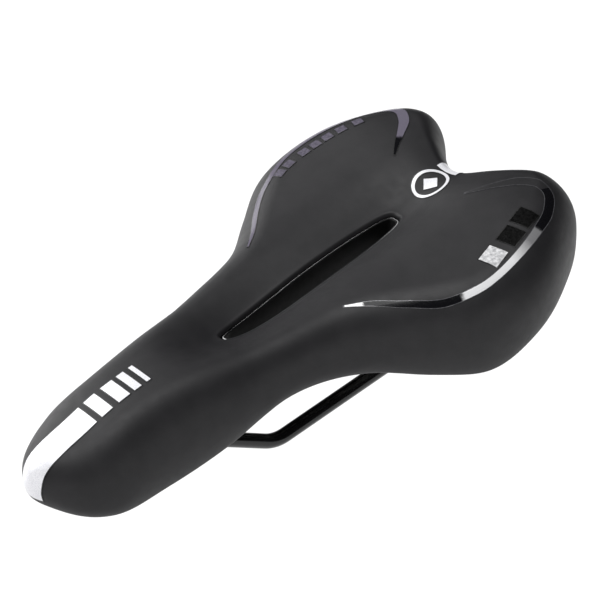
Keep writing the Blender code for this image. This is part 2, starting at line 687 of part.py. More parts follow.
def make_staples(look):
    """Staple crowns that hold the turned-under cover to the base."""
    edge = FINE_EDGE
    share = flap_share(edge.track[:, 1])
    plan = edge.track + edge.inward * (edge.lean + BASE_INSET + STAPLE_INSET * share)[:, None]
    under = flap_height(plan, edge.inward)
    length = np.concatenate([[0], np.cumsum(np.linalg.norm(np.diff(plan, axis=0), axis=1))])
    gap = STAPLE_GAP + STAPLE_SIZE[2] / 2
    for side, label in ((1, "left"), (-1, "right")):
        for i in range(STAPLES_PER_SIDE):
            k = int(np.searchsorted(length, length[-1] * (i + 0.5) / STAPLES_PER_SIDE))
            ahead = Vector((*(plan[k + 1] - plan[k - 1]), under[k + 1] - under[k - 1])).normalized()
            deeper = plan[k] + edge.inward[k] * 2
            rise = base_top(deeper[0], deeper[1]) - base_top(*plan[k])
            across = Vector((*edge.inward[k] * 2, float(rise))).normalized()
            down = ahead.cross(across).normalized()
            if down.z > 0:
                down = -down
            centre = Vector((*plan[k], under[k])) + down * gap
            half = [size / 2 for size in STAPLE_SIZE]
            corners = []
            for a, b, c in ((-1, -1, -1), (1, -1, -1), (1, 1, -1), (-1, 1, -1),
                            (-1, -1, 1), (1, -1, 1), (1, 1, 1), (-1, 1, 1)):
                point = centre + ahead * a * half[0] + across * b * half[1] + down * c * half[2]
                corners.append((side * point.x, point.y, point.z))
            faces = [(0, 1, 2, 3), (4, 5, 6, 7), (0, 1, 5, 4), (1, 2, 6, 5), (2, 3, 7, 6), (3, 0, 4, 7)]
            add_object(f"staple_{label}_{i + 1:02d}", corners, faces, look)


# ---------------------------------------------------------------- films on the cover

def cover_tree(cover, rows):
    """The cover's outer surface in drawing millimetres, for laying films on it."""
    points = [Vector(point) for point in np.concatenate(rows)]
    faces = [tuple(face.vertices) for face in cover.data.polygons]
    return BVHTree.FromPolygons(points, faces)


def drape(tree, origins, directions):
    """Points where rays meet the cover, for grids of ray origins and directions."""
    hits = np.empty_like(origins)
    for index in np.ndindex(origins.shape[:2]):
        spot = tree.ray_cast(Vector(origins[index]), Vector(directions[index]))[0]
        hits[index] = spot
    return hits


def laid_down(tree, plan):
    """Points of the cover straight below a plan grid."""
    high = np.concatenate([plan, np.full(plan.shape[:2] + (1,), CLEAR_OF_TOP)], axis=-1)
    return drape(tree, high, np.broadcast_to([0.0, 0.0, -1.0], high.shape))


def add_film(name, tree, plan, look):
    """Film over a plan grid (along, across, 2), laid on the cover from above."""
    hits = laid_down(tree, plan)
    up = np.array([0.0, 0.0, 1.0])
    add_slab(name, hits + up * FILM_GAP, hits + up * (FILM_GAP + FILM), look)


def add_wrapped_film(name, tree, stripe, look):
    """Film that wraps round a crosswise axis inside the saddle, over one of its ends."""
    angles = np.radians(np.linspace(*stripe.angles, stripe.steps + 1))
    across = np.linspace(-stripe.half_width, stripe.half_width, 5)
    outward = np.stack([np.zeros_like(angles), np.cos(angles), np.sin(angles)], axis=-1)
    outward = np.repeat(outward[:, None], len(across), axis=1)
    axis = np.zeros_like(outward)
    axis[..., 0] = across
    axis[..., 1:] = stripe.axis
    hits = drape(tree, axis + outward * CLEAR_OF_TOP, -outward)
    add_slab(name, hits + outward * FILM_GAP, hits + outward * (FILM_GAP + FILM), look)


def quad_plan(centre, size, turn, steps):
    """Plan grid of a rectangle turned by some degrees: size and steps are across and along."""
    a = np.linspace(-0.5, 0.5, steps[0] + 1) * size[0]
    b = np.linspace(-0.5, 0.5, steps[1] + 1) * size[1]
    across, along = np.meshgrid(a, b)
    c, s = math.cos(math.radians(turn)), math.sin(math.radians(turn))
    return np.stack([centre[0] + across * c - along * s, centre[1] + across * s + along * c], axis=-1)


def badge_oval(half_size, count):
    """Oval outline round the badge's centre."""
    turns = np.linspace(0, 2 * math.pi, count, endpoint=False)
    circle_points = np.stack([np.cos(turns), np.sin(turns)], axis=1)
    return np.array(BADGE_CENTRE) + circle_points * half_size


def make_badge(tree, look):
    """A plain oval ring with a diamond in it."""
    sizes = [BADGE_HALF_SIZE, [size - BADGE_LINE for size in BADGE_HALF_SIZE]]
    outer, inner = laid_down(tree, np.stack([badge_oval(size, 28) for size in sizes]))
    low, high = np.array([0.0, 0.0, FILM_GAP]), np.array([0.0, 0.0, FILM_GAP + FILM])
    add_rings("badge_ring", [outer + low, outer + high, inner + high, inner + low], look)
    diamond = quad_plan(BADGE_CENTRE, (2 * BADGE_DOT, 2 * BADGE_DOT), 45, (1, 1))
    add_film("badge_centre", tree, diamond, look)


def arc_track(count):
    """Evenly spaced x, s and half width along the left arc."""
    path = np.array(ARC_PATH, float)
    knots = np.concatenate([[0], np.cumsum(np.linalg.norm(np.diff(path[:, :2], axis=0), axis=1))])
    return spline(knots, path, np.linspace(0, knots[-1], count))


def dash_places():
    """Centre and turn of each dash in the row that follows the right arc."""
    track = arc_track(200)
    outer = track[:int(track[:, 1].argmax())]        # its part on the outer side of the lobe
    for s in DASHES_S:
        i = int(np.abs(outer[:, 1] - s).argmin())
        ahead = outer[i + 1] - outer[i - 1]
        turn = math.degrees(math.atan2(ahead[0], ahead[1]))
        yield (DASH_INSET - outer[i, 0], s), turn


def make_arc(tree, side, label, look):
    """Swept film that follows the edge of a lobe and thins to a point at both ends."""
    track = arc_track(45)
    if side < 0:
        offset = (track[:, 1] - RIGHT_ARC_INWARD.s) / RIGHT_ARC_INWARD.reach
        track[:, 0] -= RIGHT_ARC_INWARD.most * np.exp(-offset**2)
    along = unit(np.gradient(track[:, :2], axis=0))
    across = np.stack([along[:, 1], -along[:, 0]], axis=1)
    offsets = np.linspace(-1, 1, 3)[None, :, None]
    plan = track[:, None, :2] + across[:, None] * offsets * track[:, None, 2:]
    add_film(f"arc_{label}", tree, plan * np.array([side, 1]), look)


def make_films(tree, white, dark):
    add_wrapped_film("nose_stripe", tree, NOSE_STRIPE, white)
    add_wrapped_film("rear_strip", tree, REAR_STRIP, white)
    width = 2 * NOSE_STRIPE.half_width
    for i, (front, rear) in enumerate(BARS):
        plan = quad_plan((0, (front + rear) / 2), (width, rear - front), 0, (4, 2))
        add_film(f"nose_bar_{i + 1}", tree, plan, white)
    make_badge(tree, white)
    make_arc(tree, 1, "left", dark)
    make_arc(tree, -1, "right", dark)
    for i, centre in enumerate(BLOCK_CENTRES):
        add_film(f"mark_block_{i + 1}", tree, quad_plan(centre, BLOCK_SIZE, BLOCK_TURN, (3, 3)), dark)
    for i, (centre, turn) in enumerate(dash_places()):
        add_film(f"mark_dash_{i + 1}", tree, quad_plan(centre, DASH_SIZE, turn, (2, 2)), dark)


# ---------------------------------------------------------------- assembly

clear_scene()
FRAME = bpy.data.objects.new("saddle_frame", None)
bpy.context.scene.collection.objects.link(FRAME)

leather = material("cover_black", (0.030, 0.030, 0.032), 0.62)
foam_grey = material("foam_grey", (0.33, 0.33, 0.31), 0.95)
gel_blue = material("gel_blue", (0.10, 0.28, 0.55), 0.25)
plastic = material("base_plastic", (0.020, 0.020, 0.021), 0.50)
trim_plastic = material("trim_plastic", (0.015, 0.015, 0.016), 0.25)
painted_steel = material("rail_black", (0.008, 0.008, 0.009), 0.22)
zinc_steel = material("zinc_steel", (0.55, 0.56, 0.58), 0.35, 1.0)
white_film = material("white_film", (0.82, 0.83, 0.85), 0.40)
dark_film = material("dark_film", (0.045, 0.043, 0.052), 0.12, 0.6)

cover, cover_rows = make_cover(leather)
make_padding(foam_grey, gel_blue)
make_base(plastic)
make_slot_trim(trim_plastic)
add_tube("rail", rail_path(), RAIL_RADIUS, RAIL_SIDES, painted_steel)
make_nose_fixing(plastic, zinc_steel)
make_staples(zinc_steel)
make_films(cover_tree(cover, cover_rows), white_film, dark_film)
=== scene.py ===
"""Looks of the bicycle saddle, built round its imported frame.

Lengths are drawn in millimetres: x is the rider's left, s runs back from the nose tip, z is up from
the rail's axis. World y is s - CLAMP_S, and metres are millimetres times MM.
"""

import math
from types import SimpleNamespace

import bmesh
import bpy
import numpy as np
from mathutils import Matrix, Vector
from mathutils.bvhtree import BVHTree

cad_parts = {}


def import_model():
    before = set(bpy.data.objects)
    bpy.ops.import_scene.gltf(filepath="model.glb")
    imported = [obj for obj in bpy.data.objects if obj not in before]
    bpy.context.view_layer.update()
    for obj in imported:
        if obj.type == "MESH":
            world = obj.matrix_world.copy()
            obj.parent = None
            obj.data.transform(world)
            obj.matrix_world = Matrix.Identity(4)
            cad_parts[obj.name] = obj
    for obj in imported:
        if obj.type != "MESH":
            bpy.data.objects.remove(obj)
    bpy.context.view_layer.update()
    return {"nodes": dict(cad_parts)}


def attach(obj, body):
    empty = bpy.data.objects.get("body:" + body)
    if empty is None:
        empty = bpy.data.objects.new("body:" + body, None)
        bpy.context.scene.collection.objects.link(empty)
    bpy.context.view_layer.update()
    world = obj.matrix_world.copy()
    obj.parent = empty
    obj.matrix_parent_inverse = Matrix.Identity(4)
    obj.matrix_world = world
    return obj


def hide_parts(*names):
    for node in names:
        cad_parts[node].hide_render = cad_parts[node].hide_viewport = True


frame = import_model()

MM = 0.001
CLAMP_S = 155.0  # middle of the rails' clamp section, behind the nose tip
GAP = 0.3  # clearance between pieces that touch
CLEAR_OF_TOP = 120.0  # above everything: where cutting tools end and films are laid down from

# Driving dimensions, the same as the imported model's
# Half outline seen from above, nose tip to rear notch: half width, distance behind the tip
OUTLINE = [
    (0, 0), (10, 4), (20, 11.5), (28, 26), (29.5, 52), (33, 84), (37, 118), (47, 151),
    (64.2, 174.5), (79.5, 197.3), (82, 229), (71.5, 257), (54, 280), (36.5, 282.5), (16.5, 267.2), (0, 259.8),
]
# Side profile of the top and of the hem: distance behind the tip, height above the rails
CREST = [
    (0, 52), (20, 53), (45, 59), (75, 61.5), (110, 62.5), (150, 62), (190, 63.5), (220, 67), (250, 71),
    (285, 71),
]
HEM = [
    (0, 31), (8, 25), (22, 20.9), (36, 18.9), (52, 18.1), (84, 22), (117, 31.5), (152, 27.5), (176, 20),
    (199, 16.5), (229, 22.5), (257, 25), (285, 22),
]
CROWN = 3.5  # fall of the top from its middle to its edge
LEAST_HALF_WIDTH, CROWN_LIMIT = 8.0, 1.3  # that the fall is measured by, and its furthest share
ROLL_WIDTH, ROLL_DROP = 19.0, 22.0
NOSE_ROLL_WIDTH, NOSE_ROLL_DROP = 15.0, 12.5
NOTCH_ROLL_WIDTH, NOTCH_ROLL_DROP = 8.0, 19.5
NOSE_END, NOTCH_START = 0.07, 0.80  # shares of the half outline where those rolls blend in
LEAST_SKIRT = 8.0  # straight skirt left between the roll and the hem
HEM_INSET, NOSE_HEM_INSET = 5.0, 2.0  # how far the skirt leans in from its widest line to the hem

# Central slot and the valley that it lies in
SLOT_FRONT, SLOT_REAR, SLOT_HALF_WIDTH = 110.0, 218.0, 7.7
SLOT_LIP_RADIUS = 2.0
SLOT_NARROW_END = 0.80  # width share at the front
SLOT_ROUNDNESS = (0.75, 0.58)  # power that shapes its front and rear ends, blunter when small
SLOT_END_INSET = (1.8, 1.2)  # how much faster its front and rear ends move in than its sides
SLOT_FOOT = 0.6  # the cover ends this far above the underside of the base there
VALLEY = [  # depth of the valley along the middle
    (0, 0), (60, 0), (75, 0.2), (85, 1.5), (98, 6.1), (110, 10.4), (122, 12.3), (135, 12.0), (150, 10.7),
    (165, 9.5), (180, 9.0), (195, 9.3), (208, 9.9), (220, 9.8), (232, 8.3), (244, 6.9), (255, 7.8),
    (265, 9.2), (285, 9.2),
]
VALLEY_WIDTH = 18.0

# Layers
COVER = 1.2
NOSE_PADDING, PADDING, PADDING_FULL = 20.0, 27.0, 100.0  # crest to base, full from this s
BASE_THICKNESS = 3.0
NOSE_CUP, REAR_CUP, CUP_RANGE = 12.0, 26.0, (60.0, 150.0)  # width that the base rises over
RIM_LIFT = COVER + GAP  # underside of the rim above the hem
BASE_INSET = COVER + 2 * GAP
PADDING_FOOT = RIM_LIFT + BASE_THICKNESS + 2.0  # the foam ends this far above the hem

# Cover turned under the rim
FLAP_WIDTH, FLAP_SLACK = 11.0, 0.8
NOSE_FLAP_SHARE, FLAP_RANGE = 0.35, (65.0, 130.0)  # part of that width at the nose
FLAP_STEPS = (0.3, 0.65, 1.0)  # shares of the flap's width that it is shaped at
HEM_ROUND, HEM_SAG = 2.0, 0.5  # height at which the hem starts to turn, and the fold's low point
SKIRT_FOOT = HEM_ROUND + 1.5
TURNED_STEPS = 21  # rings of the cover past that
FOLD_INSET, FOLD_HEIGHT = 0.35, 0.25  # of HEM_ROUND, where the fold begins
TUCK_PITCH, TUCK_DEPTH = 5.5, 0.7  # gathers of the cover under the rim
TUCK_RADIUS, TUCK_RISE = 22.0, (0.1, 0.8)  # bend where they are full, and their share of the flap

# Fineness of the curves and how they are kept from folding
STATIONS = 170  # stations along one half of the outline
OUTLINE_POINTS, EDGE_POINTS = 1000, 800  # where widths and the rim are looked up
DRAWN_POINTS, EVEN_STEPS = 1500, 1400  # while the outline is drawn and blended
SMOOTHING, OUTLINE_SHARE = 5.0, 0.6  # blending of the profiles, and that share for the outline
KNOT_POWER = 0.6  # how the outline's knots space out with the distance between its points
PROFILE_STEP = 0.5
LEAST_SPREAD, SPREAD_SOFTNESS = 0.3, 0.4  # of the columns where an inset line would fold at the nose
TIP_SOFTNESS, TIP_WIDTH = 0.02, 4.0  # of the columns nearest the tip
CORNER_SHARE, CORNER_SOFTNESS = 0.85, 1.2  # of the corner radius that an inset may reach at the lobes
CORNER_START, CORNER_REACH = 180.0, 8  # its first s, and the stations that share its limit
WIDEST_INSET, LEAST_TURN = 40.0, 0.01


# ------------ curves and heights

def ramp(value, start, end):
    """0 before start, 1 after end and a smooth rise between them."""
    t = np.clip((value - start) / (end - start), 0, 1)
    return t * t * (3 - 2 * t)


def spline(knots, points, where):
    """Smooth curve through points at knots, read at where."""
    step = np.diff(knots)[:, None]
    slope = np.diff(points, axis=0) / step
    tangent = np.concatenate([slope[:1], slope, slope[-1:]])[:-1]
    tangent[1:-1] = (slope[:-1] * step[1:] + slope[1:] * step[:-1]) / (step[1:] + step[:-1])
    tangent[-1] = slope[-1]
    i = np.clip(np.searchsorted(knots, where, side="right") - 1, 0, len(knots) - 2)
    h = step[i]
    u = (where - knots[i])[:, None] / h
    return ((2 * u**3 - 3 * u**2 + 1) * points[i] + (u**3 - 2 * u**2 + u) * tangent[i] * h
            + (3 * u**2 - 2 * u**3) * points[i + 1] + (u**3 - u**2) * tangent[i + 1] * h)


def blurred(values, sigma):
    """Columns of an evenly sampled curve, blended over sigma samples; its ends are continued straight."""
    reach = int(3 * sigma)
    weights = np.exp(-0.5 * (np.arange(-reach, reach + 1) / sigma) ** 2)
    weights /= weights.sum()
    head = 2 * values[0] - values[reach:0:-1]
    tail = 2 * values[-1] - values[-2:-reach - 2:-1]
    longer = np.concatenate([head, values, tail])
    return np.stack([np.convolve(column, weights, "valid") for column in longer.T], axis=1)


class Profile:
    """Height along the saddle from (distance, height) pairs."""

    def __init__(self, pairs):
        table = np.array(pairs, float)
        self.s = np.arange(table[0, 0], table[-1, 0], PROFILE_STEP)
        drawn = spline(table[:, 0], table[:, 1:], self.s)
        self.z = blurred(drawn, SMOOTHING / PROFILE_STEP)[:, 0]

    def __call__(self, s):
        return np.interp(s, self.s, self.z)


crest, hem_line, valley = Profile(CREST), Profile(HEM), Profile(VALLEY)


def length_along(track):
    """Distance of each point from the first, along the track."""
    return np.concatenate([[0], np.cumsum(np.linalg.norm(np.diff(track, axis=0), axis=1))])


def half_outline(count):
    """Evenly spaced points of the half outline, nose tip to notch."""
    points = np.array(OUTLINE, float)
    mirror = np.array([-1.0, 1.0])
    points = np.concatenate([points[1:2] * mirror, points, points[-2:-1] * mirror])
    knots = np.concatenate([[0], np.cumsum(np.linalg.norm(np.diff(points, axis=0), axis=1) ** KNOT_POWER)])
    dense = np.linspace(knots[1], knots[-2], DRAWN_POINTS)
    length = length_along(spline(knots, points, dense))
    evenly = np.interp(np.linspace(0, length[-1], EVEN_STEPS + 1), length, dense)
    even = spline(knots, points, evenly)
    ring = np.concatenate([even[:0:-1] * mirror, even, even[-2::-1] * mirror])
    sigma = SMOOTHING * OUTLINE_SHARE / (length[-1] / EVEN_STEPS)
    smooth = blurred(ring, sigma)[EVEN_STEPS:2 * EVEN_STEPS + 1]
    smooth[[0, -1], 0] = 0
    length = length_along(smooth)
    where = np.linspace(0, length[-1], count)
    return np.stack([np.interp(where, length, column) for column in smooth.T], axis=1)


FINE_OUTLINE = half_outline(OUTLINE_POINTS)
WIDEST = int(np.argmax(FINE_OUTLINE[:, 0]))


def half_width(s):
    return np.interp(s, FINE_OUTLINE[:WIDEST + 1, 1], FINE_OUTLINE[:WIDEST + 1, 0])


def top_height(x, s):
    """Top of the cover inside the rolled edge."""
    across = np.clip(np.abs(x) / np.maximum(half_width(s), LEAST_HALF_WIDTH), 0, CROWN_LIMIT)
    return crest(s) - CROWN * across**2 - valley(s) * np.exp(-(x / VALLEY_WIDTH) ** 2)


def unit(vectors):
    return vectors / np.linalg.norm(vectors, axis=-1, keepdims=True)


def left_normal(track):
    """Plan normals of a half track whose two ends cross the centre line squarely."""
    tangent = np.gradient(track, axis=0)
    tangent[0] = (1, 0)
    tangent[-1] = (-1, 0)
    tangent = unit(tangent)
    return np.stack([-tangent[:, 1], tangent[:, 0]], axis=1)


def edge_frame(count):
    """Outline stations with their inward normal and the shape of the rolled edge there."""
    track = half_outline(count)
    place = np.linspace(0, 1, count)
    nose = 1 - ramp(place, 0.0, NOSE_END)
    notch = ramp(place, NOTCH_START, 1.0)
    hem = hem_line(track[:, 1])
    drop = ROLL_DROP + (NOSE_ROLL_DROP - ROLL_DROP) * nose + (NOTCH_ROLL_DROP - ROLL_DROP) * notch
    return SimpleNamespace(
        track=track,
        inward=left_normal(track),
        width=ROLL_WIDTH + (NOSE_ROLL_WIDTH - ROLL_WIDTH) * nose + (NOTCH_ROLL_WIDTH - ROLL_WIDTH) * notch,
        drop=np.minimum(drop, top_height(*track.T) - hem - LEAST_SKIRT),
        hem=hem,
        lean=HEM_INSET + (NOSE_HEM_INSET - HEM_INSET) * nose,
    )


EDGE = edge_frame(STATIONS)
FINE_EDGE = edge_frame(EDGE_POINTS)
BASE_EDGE = FINE_EDGE.track + FINE_EDGE.inward * (FINE_EDGE.lean + BASE_INSET)[:, None]


def base_top(x, s):
    """Top of the base: a plateau that falls to the rim in a cup shape."""
    x, s = np.broadcast_arrays(np.asarray(x, float), np.asarray(s, float))
    away = np.hypot(np.abs(x)[..., None] - BASE_EDGE[:, 0], s[..., None] - BASE_EDGE[:, 1])
    nearest = away.argmin(axis=-1)
    cup = NOSE_CUP + (REAR_CUP - NOSE_CUP) * ramp(s, *CUP_RANGE)
    closeness = 1 - np.clip(away.min(axis=-1) / cup, 0, 1)
    plateau = crest(s) - NOSE_PADDING - (PADDING - NOSE_PADDING) * ramp(s, 0, PADDING_FULL)
    rim = hem_line(FINE_EDGE.track[nearest, 1]) + RIM_LIFT + BASE_THICKNESS
    return plateau - (plateau - rim) * closeness**2


def half_slot(inset=0.0):
    """Half outline of the slot, pointed at the front and blunt at the rear."""
    angle = np.linspace(0, math.pi, STATIONS)
    along = (1 - np.cos(angle)) / 2
    widening = SLOT_NARROW_END + (1 - SLOT_NARROW_END) * along
    power = SLOT_ROUNDNESS[0] + (SLOT_ROUNDNESS[1] - SLOT_ROUNDNESS[0]) * along
    width = (SLOT_HALF_WIDTH - inset) * np.sin(angle) ** power * widening
    front, rear = SLOT_FRONT + SLOT_END_INSET[0] * inset, SLOT_REAR - SLOT_END_INSET[1] * inset
    return np.stack([width, front + (rear - front) * along], axis=1)


# ------------ rows of points round the saddle

def row(plan, height):
    """One closed ring of points from its left half."""
    plan = plan.copy()
    plan[:, 0] = np.maximum(plan[:, 0], 0)
    half = np.column_stack([plan, height])
    half[[0, -1], 0] = 0
    return np.concatenate([half, half[-2:0:-1] * np.array([-1, 1, 1])])


def turn_rate():
    """Turn of the outline at each station, in radians per millimetre."""
    turn = np.unwrap(np.arctan2(EDGE.inward[:, 1], EDGE.inward[:, 0]))
    return np.gradient(turn, length_along(EDGE.track))


def widest_inset():
    """How far the outline may move inward at each station before it folds at a lobe's rear corner."""
    radius = 1 / np.maximum(turn_rate(), LEAST_TURN)
    at_corner = np.minimum(CORNER_SHARE * radius, WIDEST_INSET)
    limit = np.where(EDGE.track[:, 1] > CORNER_START, at_corner, WIDEST_INSET)
    nearby = [np.roll(limit, k) for k in range(-CORNER_REACH, CORNER_REACH + 1)]
    return blurred(np.min(nearby, axis=0)[:, None], CORNER_REACH / 2)[:, 0]


def inset_track(distance):
    """The outline moved inward, kept from folding where the moved line would run together."""
    distance = np.broadcast_to(distance, EDGE.lean.shape)
    distance = -CORNER_SOFTNESS * np.logaddexp(-distance / CORNER_SOFTNESS, -INSET_LIMIT / CORNER_SOFTNESS)
    plan = EDGE.track + EDGE.inward * distance[:, None]
    least = LEAST_SPREAD * EDGE.track[:, 0]
    soft = TIP_SOFTNESS + SPREAD_SOFTNESS * ramp(EDGE.track[:, 0], 0, TIP_WIDTH)
    plan[:, 0] = least + soft * np.logaddexp(0, (plan[:, 0] - least) / soft)
    return plan


INSET_LIMIT = widest_inset()
SLOT = half_slot()
SLOT_OUTWARD = -left_normal(SLOT)
BASE_HOLE = SLOT + SLOT_OUTWARD * (COVER + GAP)


def slot_wall_rows(wall_steps, lip_steps):
    """Rings up the wall of the slot and over its lip, and the plan of the lip's inner edge."""
    inner = SLOT + SLOT_OUTWARD * SLOT_LIP_RADIUS
    lip = top_height(*inner.T)
    foot = base_top(*BASE_HOLE.T) - BASE_THICKNESS + SLOT_FOOT
    neck = lip - SLOT_LIP_RADIUS
    rows = [row(SLOT, foot + (neck - foot) * i / wall_steps) for i in range(wall_steps)]
    for i in range(lip_steps):
        angle = math.pi / 2 * i / lip_steps
        plan = SLOT + SLOT_OUTWARD * SLOT_LIP_RADIUS * (1 - math.cos(angle))
        rows.append(row(plan, lip - SLOT_LIP_RADIUS * (1 - math.sin(angle))))
    return rows, inner


def top_rows(inner, steps):
    rolled = inset_track(EDGE.width)
    rows = []
    for i in range(steps):
        plan = inner + (rolled - inner) * i / steps
        rows.append(row(plan, top_height(*plan.T)))
    return rows


def roll_rows(steps):
    rows = []
    for i in range(steps + 1):
        angle = math.pi / 2 * i / steps
        plan = inset_track(EDGE.width * (1 - math.sin(angle)))
        height = top_height(*plan.T) - EDGE.drop * (1 - math.cos(angle))
        rows.append(row(plan, height))
    return rows


SKIRT_TOP = top_height(*EDGE.track.T) - EDGE.drop


def skirt_row(height):
    """Ring on the skirt at a height above the hem, leaning in towards the hem."""
    fall = np.clip((SKIRT_TOP - EDGE.hem - height) / (SKIRT_TOP - EDGE.hem), 0, 1)
    lean = EDGE.lean * (1 - np.sqrt(1 - fall**2))
    return row(inset_track(lean), EDGE.hem + height)


def skirt_rows(foot, steps):
    """Rings evenly down the skirt, from below the roll to a height above the hem."""
    tall = SKIRT_TOP - EDGE.hem
    return [skirt_row(tall + (foot - tall) * i / steps) for i in range(1, steps + 1)]


def rim_track(share):
    """The outline moved in under the rim by a share of the flap's width there."""
    room = NOSE_FLAP_SHARE + (1 - NOSE_FLAP_SHARE) * ramp(EDGE.track[:, 1], *FLAP_RANGE)
    return inset_track(EDGE.lean + BASE_INSET + FLAP_WIDTH * room * share)


def flap_height(plan):
    """Underside of the cover where it is turned under the base, clear of it on slopes too."""
    ahead, beside = plan + EDGE.inward, plan + EDGE.inward[:, ::-1] * np.array([1, -1])
    level = base_top(*plan.T)
    slope = base_top(*ahead.T) - level
    tilt = base_top(*beside.T) - level
    drop = (GAP + COVER + FLAP_SLACK) * np.sqrt(1 + slope**2 + tilt**2)
    return level - BASE_THICKNESS - drop


def flap_rows(shares):
    """Rings of the turned-under flap; it gathers into small tucks where the rim turns sharply."""
    tightness = np.clip(np.abs(turn_rate()) * TUCK_RADIUS, 0, 1)
    waves = np.sin(length_along(EDGE.track) * 2 * math.pi / TUCK_PITCH)
    tucks = tightness * (0.5 + 0.5 * waves) ** 2
    rows = []
    for share in shares:
        plan = rim_track(share)
        rows.append(row(plan, flap_height(plan) - TUCK_DEPTH * tucks * ramp(share, *TUCK_RISE)))
    return rows


def flap_controls():
    """Rings that the turned hem and the flap pass through, from the skirt to the free edge."""
    rings = [skirt_row(height) for height in (SKIRT_FOOT, HEM_ROUND)]
    fold = inset_track(EDGE.lean + FOLD_INSET * HEM_ROUND)
    rings.append(row(fold, EDGE.hem + FOLD_HEIGHT * HEM_ROUND))
    flap = flap_rows(FLAP_STEPS)
    middle = (rings[-1] + flap[0]) / 2
    middle[:, 2] = np.minimum(rings[-1][:, 2], flap[0][:, 2]) - HEM_SAG
    return rings + [middle] + flap


def cover_rows():
    """The whole outer skin, from the foot of the slot to the free edge of the flap."""
    wall, inner = slot_wall_rows(wall_steps=5, lip_steps=10)
    controls = np.stack(flap_controls())
    steps = np.linalg.norm(np.diff(controls, axis=0), axis=2).mean(axis=1)
    knots = np.concatenate([[0], np.cumsum(steps)])
    places = np.linspace(0, knots[-1], TURNED_STEPS + 1)[1:]
    turned = spline(knots, controls.reshape(len(controls), -1), places)
    turned = list(turned.reshape(TURNED_STEPS, -1, 3))
    skirt = skirt_rows(SKIRT_FOOT, steps=9)
    return wall + top_rows(inner, steps=28) + roll_rows(steps=20) + skirt + turned


# ------------ meshes

def world(points):
    """Drawing millimetres to world metres."""
    points = np.asarray(points, float).reshape(-1, 3)
    return (points - (0, CLAMP_S, 0)) * MM


def grid_faces(rows, columns, closed_section):
    """Quads between rings of points, optionally closing the last ring onto the first."""
    faces = []
    for i in range(rows if closed_section else rows - 1):
        a, b = i * columns, (i + 1) % rows * columns
        for j in range(columns):
            k = (j + 1) % columns
            faces.append((a + j, b + j, b + k, a + k))
    return faces


def add_object(name, data):
    made = bpy.data.objects.new(name, data)
    bpy.context.scene.collection.objects.link(made)
    return made


def add_piece(name, points, faces, look, sharp_degrees=60, recalculate=True):
    mesh = bpy.data.meshes.new(name)
    mesh.from_pydata(world(points).tolist(), [], faces)
    if recalculate:
        shape = bmesh.new()
        shape.from_mesh(mesh)
        bmesh.ops.recalc_face_normals(shape, faces=shape.faces)
        shape.to_mesh(mesh)
        shape.free()
    mesh.shade_smooth()
    mesh.set_sharp_from_angle(angle=math.radians(sharp_degrees))
    if look:
        mesh.materials.append(look)
    return add_object(name, mesh)


def add_rings(name, rows, look, closed_section=True, sharp_degrees=60):
    faces = grid_faces(len(rows), len(rows[0]), closed_section)
    return add_piece(name, np.concatenate(rows), faces, look, sharp_degrees, closed_section)


def stands_for(piece, node):
    """Enter a piece in the frame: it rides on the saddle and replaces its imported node."""
    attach(piece, "root")
    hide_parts(node)
    return piece


# ------------ materials

NOISE_RANGE = (0.3, 0.7)  # where nearly all values of a noise lie
STOP_WOBBLE = 0.012  # share of an arc's length that the ends of its colours wander by


def fill(node, sockets):
    """Set the sockets of a shader node by their names, with _ for a space."""
    for name, value in sockets.items():
        node.inputs[name.replace("_", " ")].default_value = value


